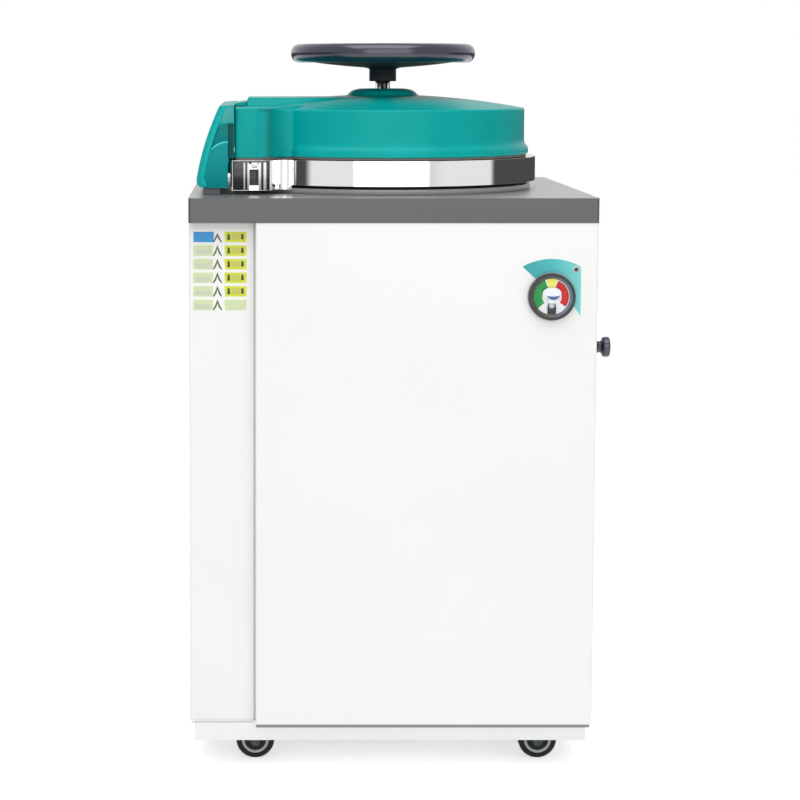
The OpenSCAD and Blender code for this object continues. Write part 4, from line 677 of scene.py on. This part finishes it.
def cover_studs():
    """Four round studs, turned about Z, that carry the shell on the lid's beams."""
    stud_x, stud_y, radius = 90, 67.5, 7
    places = ((-stud_x, -stud_y), (stud_x, -stud_y), (-stud_x, stud_y), (stud_x, stud_y))
    for number, (x, y) in enumerate(places, 1):
        top = float(cover_height(x, y)) - 0.5 * SHELL_WALL
        profile = rounded([(0, BEAM_TOP), (radius, BEAM_TOP), (radius, top), (0, top)], [0, 0.8, 0.8, 0])
        turned_piece("cover_stud_%d" % number, profile, (x, y, 0), 32, "lid", TEAL, closed=False)


lid_shell()
cover_lip()
cover_studs()


# Hinge housing

TOWER_TOP = SHOULDER_Z + 5.6
TOWER_FOOT = HINGE_Z - 31
RECESS_TOP = TOWER_TOP - 24.8
HEEL_X = HINGE_X - 20.7
FOLD_X = -218.9
ARCH, ARCH_RADIUS = (HINGE_X + 24, HINGE_Z), 33.0


def tower_back(shift):
    """The tower's left contour, a quadratic curve from its heel to its top, moved right by a shift. X and Z."""
    low, top = TOWER_FOOT + 12.5, TOWER_TOP
    return curve((HEEL_X + shift, low), (HEEL_X + 8 + shift, (low + top) / 2), (HINGE_X + 11 + shift, top), 24)


def tower_panels():
    """Outlines, in X and Z, of the panels on each cheek that carry painted light and shade: the recess and lower cheek
    in painted shade, the cap facet in painted light, and the return, a dark panel of painted shade in the gap.
    """
    toe = HINGE_X + 22.8
    inner = tower_back(7.0)
    inner = inner[inner[:, 1] < RECESS_TOP - 0.8]
    above = arc(ARCH, ARCH_RADIUS, 90, 172, 16)
    above = above[above[:, 0] < toe - 0.4]
    arch_foot = above[-1, 1]
    left_foot = np.interp(arch_foot, inner[:, 1], inner[:, 0]) + 0.3
    recess = np.concatenate([[(toe, RECESS_TOP - 0.4), (toe, above[0, 1])], above, [(left_foot, arch_foot)],
                             inner[inner[:, 1] > arch_foot] + (0.4, 0)])
    below = arc(ARCH, ARCH_RADIUS - 0.6, 92, 172, 16)[1:]
    rim_in = tower_rim_lines()[1]
    cheek = np.concatenate([[(toe, TOWER_FOOT + 1.2), (toe, above[0, 1] - 0.6)], below,
                            rim_in[rim_in[:, 1] < HINGE_Z][::-1]])
    cap_left = np.interp(RECESS_TOP + 1.8, *tower_back(10.0).T[::-1])
    cap_right = np.interp(TOWER_TOP - 1, *tower_back(9.0).T[::-1])
    cap = [(cap_left, RECESS_TOP + 2.2), (FOLD_X, RECESS_TOP + 2.2), (FOLD_X, TOWER_TOP - 0.9),
           (cap_right, TOWER_TOP - 1.6)]
    slot = [(toe + 0.2, COVER_BOTTOM + 0.4), (FOLD_X, COVER_BOTTOM + 0.4), (FOLD_X, RECESS_TOP - 0.2),
            (toe + 0.2, RECESS_TOP - 0.2)]
    return recess, cheek, cap, slot


def tower_rim_lines():
    """The rim's outer and inner line, each from the heel's arc up the tower's contour, at 48 even steps; its brightness
    is a painted highlight.
    """
    heel = arc((HEEL_X + 9, TOWER_FOOT + 9), 8.2, 250, 190, 6)
    heel_in = np.array([(-5.6, 0.8), (-7.2, 5), (-8.6, 9), (-9.4, 11)]) + (HINGE_X, TOWER_FOOT)
    level = np.linspace(0, 1, 48)
    lines = []
    for start, contour in ((heel, tower_back(0.9)), (heel_in, tower_back(10.4))):
        line = np.concatenate([start, contour[contour[:, 1] > start[-1, 1] + 1]])
        line = np.stack([np.interp(level, np.linspace(0, 1, len(line)), line[:, i]) for i in (0, 1)], -1)
        line[-1, 1] = TOWER_TOP - 1.0
        lines.append(line)
    return lines


def tower_dress():
    """Thin panels on each cheek in painted light and shade, a rim strip along its contour and a tapering bead over its
    arch, both coloured as painted highlights.
    """
    recess, cheek, cap, slot = tower_panels()
    # Panels in copies of the gel coat: painted shade in the recess, on the cheek and in the return's gap, painted light
    # on the cap.
    panels = [("tower_" + name, slab_rings(outline, face - 0.25, face + 0.3, 0.1, 2), finish)
              for name, outline, face, finish in (("recess", recess, TOWER_FRONT + 2.5, TEAL_PAINTED_SHADE_RECESS),
                                                  ("cheek", cheek, TOWER_FRONT, TEAL_PAINTED_SHADE_CHEEK),
                                                  ("cap", cap, TOWER_FRONT, TEAL_PAINTED_LIGHT_CAP),
                                                  ("return", slot, -202.0, TEAL_PAINTED_SHADE_GAP))]
    rim_out, rim_in = tower_rim_lines()
    section = ((rim_out, 0.9), (rim_in, -0.75), (rim_in, 0.2), (rim_out, 1.4))
    sheets = [np.column_stack([line[:, 0], np.full(len(line), TOWER_FRONT + back), line[:, 1]])
              for line, back in section]
    rim = np.array(sheets).transpose(1, 0, 2)
    bead = arc(ARCH, ARCH_RADIUS - 0.2, 91, 139, 20)
    radial = (bead - ARCH) / ARCH_RADIUS
    share = np.linspace(0, 1, len(bead))[:, None]
    width = 0.35 + 1.25 * np.sin(np.pi * np.clip(share * 0.92 + 0.08, 0, 1)) ** 0.6
    turn = np.linspace(0, 2 * np.pi, 12, endpoint=False)[None, :]
    edge = np.stack([bead[:, :1] + radial[:, :1] * width * np.cos(turn),
                     TOWER_FRONT + 0.2 + 0.6 * width * np.sin(turn),
                     bead[:, 1:] + radial[:, 1:] * width * np.cos(turn)], -1)
    # The rim strip and the arch bead are coloured as painted highlights.
    front_and_rear("lid", "teal_paint", *panels, ("tower_rim", rim, TEAL_PAINTED_HIGHLIGHT_RIM), ("tower_arch_edge", edge, TEAL_PAINTED_HIGHLIGHT_ARCH))


edged_copy("hinge_housing", "lid", TEAL, 1.2, segments=3)
tower_dress()


# Handwheel and its shaft

def superellipse(centre, half_width, half_height, power, steps):
    """A closed loop |x/a|^n + |z/b|^n = 1: an oval tube's section with full, soft shoulders."""
    angle = np.linspace(0, 2 * np.pi, steps, endpoint=False)
    c, s = np.cos(angle), np.sin(angle)
    return np.stack([centre[0] + half_width * np.sign(c) * np.abs(c) ** (2 / power),
                     centre[1] + half_height * np.sign(s) * np.abs(s) ** (2 / power)], -1)


def handwheel_piece():
    """Turned about Z: hub, dished web and oval rim in one closed section round the shaft's bore."""
    bore, low = SHAFT_HIGH[0], WHEEL_LOW[2]
    rim_height, rim_width, web, hub, boss = 27.0, 25.0, 7.0, 20.0, 27
    rim_z = WHEEL_HIGH[2] - rim_height / 2
    rim_r = WHEEL_HIGH[0] - rim_width / 2
    hub_top = low + 18.5
    oval = superellipse((rim_r, rim_z), rim_width / 2, rim_height / 2, 2.15, 56)
    web_below, web_above = 33, 21
    tube = np.concatenate([oval[web_below:], oval[:web_above + 1]])
    under = np.concatenate([
        rounded([(bore, low), (hub, low), (hub, hub_top - 0.5)], [0, 1.5, 0], 5, closed=False),
        curve((hub, hub_top - 0.5), (22.5, hub_top + 1.2), (30, hub_top + 2.0), 5)[1:],
        curve((30, hub_top + 2.0), (80, hub_top + 5.4), (rim_r - 8.0, rim_z - 11.4), 12)[1:],
    ])
    over = np.concatenate([
        curve((rim_r - 9.6, rim_z - 1.0), (86, hub_top + 16), (44, hub_top + web + 6), 12),
        curve((44, hub_top + web + 6), (30, hub_top + web + 4), (boss, hub_top + 19), 6)[1:],
        rounded([(boss, hub_top + 19), (25.5, hub_top + 24), (bore, hub_top + 24.5)], [0, 3, 0], 5, closed=False)[1:],
    ])
    section = np.concatenate([under, tube, over])
    piece = turned_piece("handwheel_moulding", section, (0, 0, 0), 192, "handwheel_set", PHENOLIC,
                         ("handwheel",))
    paint_where(piece, PHENOLIC_DULL, lambda centre, normal:
                (np.hypot(centre[:, 0], centre[:, 1]) < rim_r - 7.6) & (centre[:, 2] < rim_z - 2))


def shaft_piece():
    """The splined spindle: its radius swings between ridges and grooves as a squared-off wave of the angle. The grooves
    are painted dark: painted dark reflection between the chrome's bright lines.
    """
    low, high, spline_low = SHAFT_LOW[2], SHAFT_HIGH[2], BEAM_TOP + 3
    columns, ridges, root, tip, groove = 240, 10, 8.9, 10.9, 10.0
    angle = np.linspace(0, 2 * np.pi, columns, endpoint=False)
    splined = root + (tip - root) * np.clip(0.5 + 1.6 * np.cos(ridges * angle + 0.55 * np.pi), 0, 1)
    levels = ((low, 10.6), (spline_low - 1, tip), (spline_low, splined), (high - 1.2, splined), (high, splined - 1))
    piece = rings_piece("spindle", [polar(radius, angle, z) for z, radius in levels])
    finish_mesh(piece, "handwheel_set", POLISHED, ("wheel_shaft",))
    # The grooves get the dark steel: painted dark reflection.
    paint_where(piece, STEEL_PAINTED_DARK, lambda centre, normal:
                (np.hypot(centre[:, 0], centre[:, 1]) < groove) & (centre[:, 2] > spline_low))


handwheel_piece()
shaft_piece()


# Gauge, decal, lamp and label

GAUGE_RADIUS = 32.0
DIAL_SEEN = 24.6
PANEL_FACE = PANEL_LOW[1]
DIAL_FACE = DIAL_LOW[1]
SECTOR_STEPS = 24


def sector(inner, outer, start, end):
    """A ring sector's outline, with angles in degrees clockwise from twelve o'clock as seen from the front."""
    out = arc((GAUGE_X, GAUGE_Z), outer, 90 - start, 90 - end, SECTOR_STEPS)
    back = arc((GAUGE_X, GAUGE_Z), inner, 90 - end, 90 - start, SECTOR_STEPS)
    return np.concatenate([out, back])


def plate_piece(name, outline, front, thickness, edge, body, material, stands_for=()):
    """A flat plate that faces -Y: its outline in X and Z, from its front face back by its thickness."""
    piece = rings_piece(name, slab_rings(outline, front, front + thickness, edge, 2))
    return finish_mesh(piece, body, material, stands_for, merge=THIN_MERGE)


def gauge_face():
    """Coloured scale sectors printed on the dial. The red one's two corners at its end are rounded."""
    ink, seen = 0.12, DIAL_SEEN + 0.6
    green = print_ink("dial_ink_green", "#07903A", "#0E9842")
    yellow = print_ink("dial_ink_yellow", "#F6F25C", "#FAF66A")
    red = print_ink("dial_ink_red", "#C80C0A", "#D2120C")
    corners = np.zeros(2 * SECTOR_STEPS + 2)
    corners[SECTOR_STEPS:SECTOR_STEPS + 2] = 3.5
    for name, outline, colour in (("green", sector(12.8, seen, -131, -22), green),
                                  ("yellow", sector(12.0, seen, -17, 18), yellow),
                                  ("red", rounded(sector(13.6, 23.6, 22, 126), corners, 4), red)):
        plate_piece("dial_" + name, outline, DIAL_FACE - ink, ink, 0.02, "cabinet", colour)


def gauge_bezel():
    """The pressed bezel, turned about Y: a rolled outer ring and a cone down to the dial inside it."""
    face, outer = span("gauge_case")[0][1], GAUGE_RADIUS + 0.35
    rolled = rounded([(28.0, face + 0.9), (29.2, face), (31.6, face + 0.1), (outer, face + 2.2),
                      (outer, PANEL_FACE - 0.02), (28.0, PANEL_FACE - 0.02)], [0.6, 1.2, 1.4, 1.8, 0, 0], 5)
    middle = (GAUGE_X, 0, GAUGE_Z)
    turned_piece("gauge_bezel", rolled, middle, 160, "cabinet", BEZEL, axis="y")
    # The cone's enamel carries painted shade and a painted reflection along X.
    cone = rounded([(27.95, face + 0.9), (28.3, face + 1.3), (DIAL_SEEN + 0.3, DIAL_FACE - 0.15),
                    (DIAL_SEEN, DIAL_FACE - 0.25), (DIAL_SEEN + 0.1, DIAL_FACE - 0.9)], [0, 0, 0, 0.1, 0.3], 3)
    turned_piece("gauge_inner_cone", cone, middle, 160, "cabinet", CONE_PAINTED_SHADE_AND_REFLECTION, axis="y")


def gauge_hand():
    """The hand rests straight down: a white stem, a dark tip with a pale spot that is a painted highlight, an oval boss
    over its hub, and a blue crescent under the boss that is painted shade.
    """
    front = span("gauge_needle")[0][1]
    white = print_ink("hand_white_lacquer", "#F1F5F7", "#EAF0F4", 0.3)
    dark = print_ink("hand_dark_lacquer", "#0B1822", "#101F2A", 0.3)
    dome = print_ink("hand_tip_painted_highlight", "#9FB0BA", "#C2CDD4", 0.25)
    boss_painted_shade = print_ink("hand_boss_painted_shade_blue", "#2F5F9A", "#3A6CA6", 0.3)

    def layer(name, points, proud, thickness, edge, ink, stands_for=()):
        """A flat layer of the hand, its outline given from the hub's centre."""
        outline = np.asarray(points, float) + (GAUGE_X, GAUGE_Z)
        plate_piece("hand_" + name, outline, front - proud, thickness, edge, "gauge_needle", ink,
                    stands_for)

    stem = rounded([(-4.2, 4), (-4.8, -9), (4.8, -9), (4.2, 4)], 1.0, 3)
    layer("stem", stem, 0.0, 0.7, 0.1, white, ("gauge_needle",))
    tip = rounded([(-4.6, -9.2), (-5.8, -15), (-5.4, -23.8), (5.9, -23.8), (6.2, -15), (4.8, -9.2)], 1.6, 4)
    layer("tip", tip, 0.08, 0.7, 0.1, dark)
    # A pale spot on the dark tip: painted highlight.
    layer("tip_painted_highlight", superellipse((0, -12.2), 4.0, 3.6, 2.0, 32), 0.55, 0.6, 0.25, dome)
    layer("boss", superellipse((0.3, 4.6), 12.8, 8.2, 2.0, 64), 0.5, 0.9, 0.35, white)
    # The blue crescent under the boss: painted shade.
    across = np.linspace(-7.6, 11.4, 25)
    lower = -4.4 + 0.062 * (across - 2.0) ** 2
    upper = np.maximum(0.5 + 0.012 * (across - 1.2) ** 2, lower + 0.3)
    moon = np.concatenate([np.stack([across, lower], -1), np.stack([across, upper], -1)[::-1]])
    layer("boss_painted_shade", moon, 0.62, 0.5, 0.1, boss_painted_shade)


def lamp_pieces():
    """The lamp's domed lens, a spherical cap, in a pale flanged ring. Both are turned about Y."""
    low, high = span("indicator_lamp")
    x, z = 0.5 * (low + high)[[0, 2]]
    face, lens = low[1], 2.9
    dome = np.radians(np.linspace(0, 90, 9))
    profile = np.stack([lens * np.sin(dome), face - 0.9 + 1.9 * (1 - np.cos(dome))], -1)
    profile = np.concatenate([profile, [(lens, face + 8), (0, face + 8)]])
    turned_piece("lamp_lens", profile, (x, 0, z), 40, "cabinet", LENS, ("indicator_lamp",), "y", False)
    flange = rounded([(2.95, face + 0.3), (3.4, face - 0.2), (4.4, face + 0.6), (4.4, face + 1.5), (2.95, face + 1.5)],
                     [0.2, 0.4, 0.4, 0, 0], 3)
    turned_piece("lamp_flange", flange, (x, 0, z), 40, "cabinet", LAMP_RING, axis="y")


def label_print():
    """Plain coloured cells and arrow-heads in three columns, printed on the label's film."""
    left, right, top = LABEL_LOW[0], LABEL_HIGH[0], LABEL_HIGH[2]
    face = LABEL_LOW[1] - 0.1
    header, pale, lime, olive, dark, mist, straw = (
        print_ink("label_ink_" + name, low, high) for name, low, high in (
            ("blue", "#2F8FCF", "#3796D4"), ("pale_green", "#D3E0A8", "#CCD8B4"), ("lime", "#D0D830", "#D5DC3C"),
            ("olive", "#4A5A35", "#526239"), ("dark", "#2E3A24", "#38442C"), ("mist", "#CBD3BE", "#C4CDB2"),
            ("field", "#C8C862", "#BFC24E")))

    def cell_print(name, outline, radius, ink, steps=3):
        """A cell or arrow-head printed on the film."""
        plate_piece("label_" + name, rounded(outline, radius, steps), face, 0.1, 0.02, "cabinet", ink)

    def over_print(name, outline, radius, ink):
        """A mark printed over a cell."""
        plate_piece("label_" + name, rounded(outline, radius, 3), face - 0.05, 0.1, 0.01, "cabinet",
                    ink)

    rows, pitch, cell, first_top = 6, 18.75, 14.4, top - 4.4
    middle, centre = left + 33.2, right - 15.8
    for row in range(rows):
        high = first_top - row * pitch
        low = high - cell
        skew = 0.0 if row else 1.2
        cell_print("left_%d" % row, [(left + 0.2, low), (left + 26.6 + skew, low), (left + 27.6 + skew, high),
                                     (left + 0.2, high)], 1.0, pale if row else header)
        cell_print("right_%d" % row, [(right - 30.2, low), (right - 1.4, low), (right - 0.6, high),
                                      (right - 31.4, high)], 1.0, lime if row < rows - 1 else pale)
        apex, foot = high + (0.6 if row else -1.6), low - 0.4
        side = np.array([(3.2, foot + 7.0), (6.9, foot), (4.2, foot + 0.8), (1.4, foot + 5.0)])
        chevron = np.concatenate([[(0, apex)], side, [(0, apex - 5.2)], side[::-1] * (-1, 1)]) + (middle, 0)
        cell_print("chevron_%d" % row, chevron, 0.4, olive, 2)
        if row:
            over_print("wash_%d" % row, [(left + 3.2, low + 2.4), (left + 23.4, low + 2.4), (left + 24.2, low + 8.2),
                                         (left + 3.2, low + 8.2)], 1.2, mist)
        if row == rows - 1:
            continue
        for end, (reach, tall) in enumerate(((-9.4, 8.0), (9.4, 7.2))):
            edge = centre + reach
            over_print("mark_%d_%d" % (row, end), [(edge - 2.2, high - 3.4 - tall), (edge + 2.0, high - 3.2 - tall),
                                                   (edge + 1.4, high - 3.0), (edge - 1.6, high - 2.6)], 0.8, dark)
        over_print("field_%d" % row, [(centre - 5.6, low + 3.2), (centre + 5.8, low + 3.2),
                                      (centre + 6.2, high - 3.0), (centre - 5.4, high - 3.0)], 1.0, straw)


def vent_knob_piece():
    """Turned about X: a flared foot, a narrow waist and a wide rounded head on the stem."""
    low, high = span("vent_knob")
    y, z = 0.5 * (low + high)[1:]
    foot = PLATE_RIGHT + 0.6
    stem = [(0.0, low[0]), (5.0, low[0]), (5.0, foot), (11.2, foot), (11.3, foot + 4.8)]
    neck = curve((11.3, foot + 5.2), (7.9, foot + 8.5), (7.9, foot + 12.0), 6)
    shoulder = curve((7.9, foot + 12.2), (8.2, foot + 14.4), (12.2, foot + 15.4), 5)
    head = rounded([(12.2, foot + 15.4), (14.0, foot + 16.6), (14.4, foot + 21.0), (14.1, foot + 24.9),
                    (11.5, foot + 25.9), (0.0, foot + 26.0)], [0, 1.5, 3, 1.6, 1.4, 0], 5, closed=False)
    profile = np.concatenate([stem, neck, shoulder[1:], head[1:]])
    turned_piece("vent_knob_moulding", profile, (0, y, z), 72, "vent_knob", PHENOLIC, ("vent_knob",),
                 axis="x", closed=False)


def seam_liner():
    """Thin grey plates of painted shade: one down the slit between strip and front panel, and one in the shade below
    each of them.
    """
    left, right = STRIP_HIGH[0] - 0.4, PANEL_LOW[0] + 0.4
    low, high = PANEL_LOW[2], PANEL_HIGH[2] - 0.5
    slit = [(left, low), (right, low), (right, high), (left, high)]
    plate_piece("seam_liner", slit, STRIP_LOW[1] + 0.9, 0.6, 0.05, "cabinet", GREY_PAINTED_GAP_SHADE)
    tray_face = span("base_tray")[0][1] - 0.25
    # Bands of painted shade on the tray, below the front panel and the strip.
    for name, low, high, depth, ink in (("panel_shade", PANEL_LOW, PANEL_HIGH, 9.6, GREY_PAINTED_PANEL_SHADE),
                                        ("strip_shade", STRIP_LOW, STRIP_HIGH, 2.4, GREY_PAINTED_GAP_SHADE)):
        left, right, under, top = low[0] + 0.6, high[0] - 0.6, low[2] - depth, low[2] - 0.4
        band = [(left, under), (right, under), (right, top), (left, top)]
        plate_piece(name, band, tray_face, 0.4, 0.03, "cabinet", ink)


gauge_face()
gauge_bezel()
gauge_hand()
lamp_pieces()
label_print()
vent_knob_piece()
seam_liner()


# Casters: the solids' forks with rounded edges, and tyres with pale dished hubs

def caster_pieces():
    """Each hub is turned about Y: a dished disc with a raised centre boss, just proud of the tyre on both sides."""
    radius, half, bore = 19.0, 10.5, 4.3
    side = rounded([(radius, 0), (radius, half + 0.25), (radius - 1.6, half + 0.25), (radius - 4.5, half - 1.6),
                    (8.5, half - 1.6), (7.0, half + 0.1), (bore, half + 0.1)],
                   [0, 0.8, 0.6, 1.5, 0.8, 0.8, 0], 3, closed=False)
    section = np.concatenate([side, side[::-1] * (1, -1)])
    for number in range(1, 5):
        wheel, fork = "caster_wheel_%d" % number, "caster_fork_%d" % number
        middle = 0.5 * sum(span(wheel))
        turned_piece("caster_hub_%d" % number, section, middle, 64, wheel, HUB, axis="y")
        edged_copy(fork, fork, ZINC, 0.8)


caster_pieces()


# Materials of the CAD nodes that stay as they are

NODE_FINISH = {
    "inner_frame": BRUSHED, "gauge_decal": SAIL, "gauge_case": BEZEL, "gauge_dial": DIAL_WHITE,
    "gauge_glass": GLASS, "vessel": BRUSHED, "lid_seal": SILICONE,
    "insulation_jacket": WOOL, "heater": BRUSHED, "support_rack": BRUSHED, "basket": BRUSHED,
    "drain_pipe": BRASS, "drain_lever": BLUE_DIP, "vent_pipe": BRASS, "safety_valve": BRASS,
    "control_box": GREY, "main_switch": NYLON, "switch_rocker": NYLON, "cable_gland": NYLON,
    "hinge_shaft": POLISHED, "interlock_pin": POLISHED, "panel_screws": BRUSHED, "lid_plate": BRUSHED,
    "hinge_arms": BRUSHED, "bar_guides": BRUSHED, "shaft_bearing": BRASS, "scroll_disc": BRUSHED,
    "caster_plates": ZINC, "step_label": PAPER,
}
NODE_FINISH.update(("lock_bar_%d" % number, BRUSHED) for number in range(1, 7))
NODE_FINISH.update(("caster_wheel_%d" % number, RUBBER) for number in range(1, 5))
for node, finish in NODE_FINISH.items():
    node_mesh = frame["nodes"][node].data
    node_mesh.materials.clear()
    node_mesh.materials.append(finish)


# Floor, light and camera

FLOOR_LIFT = 0.55
SKY_LIGHT = 0.5
WHITE_LIGHT = (1, 1, 1, 1)
SCREENS = [(-180, 0.08), (-62, 0.075), (-57, 1.0), (-1, 1.0), (1, 0.68), (22, 0.68), (42, 1.0), (84, 1.0),
           (88, 0.08), (180, 0.08)]


def floor():
    """A white floor that adds part of its own light for the camera and in reflections, so shadows stay on it."""
    half = 6000
    piece = new_piece("floor", [(-half, -half, 0), (half, -half, 0), (half, half, 0), (-half, half, 0)],
                      [[0, 1, 2, 3]])
    material, tree, shader = plain_material("pale_floor", "#FFFFFF", 0.9, Specular_IOR_Level=0.0,
                                            Emission_Color=WHITE_LIGHT)
    path = add_node(tree, "ShaderNodeLightPath")
    seen = add_node(tree, "ShaderNodeMath", {"operation": "MAXIMUM"},
                    links={0: path.outputs["Is Camera Ray"], 1: path.outputs["Is Glossy Ray"]})
    lift = add_node(tree, "ShaderNodeMath", {"operation": "MULTIPLY"}, links={0: seen.outputs["Value"]},
                    values={1: FLOOR_LIFT})
    tree.links.new(lift.outputs["Value"], shader.inputs["Emission Strength"])
    piece.data.materials.append(material)


def studio_world():
    """White for the camera and through glass, an even grey for light, and for gloss a white sky over a horizon
    of pale and dark screens: each screen is a range of bearings, from -Y round by +X.
    """
    world = bpy.data.worlds.new("studio")
    bpy.context.scene.world = world
    world.use_nodes = True
    tree = world.node_tree
    tree.nodes.clear()
    path = add_node(tree, "ShaderNodeLightPath")
    place = add_node(tree, "ShaderNodeTexCoord")
    parts = add_node(tree, "ShaderNodeSeparateXYZ", links={"Vector": place.outputs["Generated"]})
    toward = add_node(tree, "ShaderNodeMath", {"operation": "MULTIPLY"}, links={0: parts.outputs["Y"]}, values={1: -1})
    bearing = add_node(tree, "ShaderNodeMath", {"operation": "ARCTAN2"},
                       links={0: parts.outputs["X"], 1: toward.outputs["Value"]})
    turn = add_node(tree, "ShaderNodeMapRange", links={"Value": bearing.outputs["Value"]},
                    values={"From Min": -np.pi, "From Max": np.pi})
    screens = add_node(tree, "ShaderNodeValToRGB", links={"Fac": turn.outputs["Result"]})
    strength = set_stops(screens, [(degrees / 360 + 0.5, (shade, shade, shade, 1)) for degrees, shade in SCREENS])
    above = add_node(tree, "ShaderNodeMapRange", {"interpolation_type": "SMOOTHSTEP"},
                     links={"Value": parts.outputs["Z"]}, values={"From Min": -0.02, "From Max": 0.04})
    gloss = add_node(tree, "ShaderNodeMix", {"data_type": "FLOAT"},
                     links={"Factor": above.outputs["Result"], "A": strength}, values={"B": 1.0})
    lit = add_node(tree, "ShaderNodeBackground", values={"Color": WHITE_LIGHT, "Strength": SKY_LIGHT})
    seen = add_node(tree, "ShaderNodeBackground", values={"Color": WHITE_LIGHT, "Strength": 1.0})
    mirrored = add_node(tree, "ShaderNodeBackground", links={"Strength": gloss.outputs["Result"]})
    first = add_node(tree, "ShaderNodeMixShader", links={"Fac": path.outputs["Is Glossy Ray"]})
    tree.links.new(lit.outputs["Background"], first.inputs[1])
    tree.links.new(mirrored.outputs["Background"], first.inputs[2])
    through = add_node(tree, "ShaderNodeMath", {"operation": "MAXIMUM"},
                       links={0: path.outputs["Is Camera Ray"], 1: path.outputs["Is Transmission Ray"]})
    second = add_node(tree, "ShaderNodeMixShader", links={"Fac": through.outputs["Value"]})
    tree.links.new(first.outputs["Shader"], second.inputs[1])
    tree.links.new(seen.outputs["Background"], second.inputs[2])
    output = add_node(tree, "ShaderNodeOutputWorld")
    tree.links.new(second.outputs["Shader"], output.inputs["Surface"])


def soft_lamp(name, place, target, size, watts):
    """A rectangular softbox at a place, turned towards a target, in metres and watts."""
    lamp = bpy.data.lights.new(name, "AREA")
    lamp.shape = "RECTANGLE"
    lamp.size, lamp.size_y = size
    lamp.energy = watts
    holder = bpy.data.objects.new(name, lamp)
    bpy.context.scene.collection.objects.link(holder)
    holder.location = place
    holder.rotation_euler = (Vector(target) - Vector(place)).to_track_quat("-Z", "Y").to_euler()


def camera():
    """The pinhole camera that was fitted to the photograph."""
    lens = bpy.data.cameras.new("photo_view")
    lens.sensor_width = 36
    lens.lens = 93.76
    lens.shift_x = 0.174
    lens.shift_y = -0.188
    lens.clip_end = 50
    holder = bpy.data.objects.new("photo_view", lens)
    bpy.context.scene.collection.objects.link(holder)
    holder.location = (-0.1812, -3.1081, 0.9735)
    holder.rotation_euler = (np.radians(90 - 4.943), 0, 0)
    bpy.context.scene.camera = holder


floor()
studio_world()
soft_lamp("top_softbox", (-0.1, -0.9, 3.1), (0, 0, 0.8), (2.6, 2.0), 36)
soft_lamp("front_softbox", (0.2, -3.4, 1.7), (0, 0, 0.6), (3.8, 2.6), 39)
camera()
bpy.context.scene.view_settings.view_transform = "Standard"
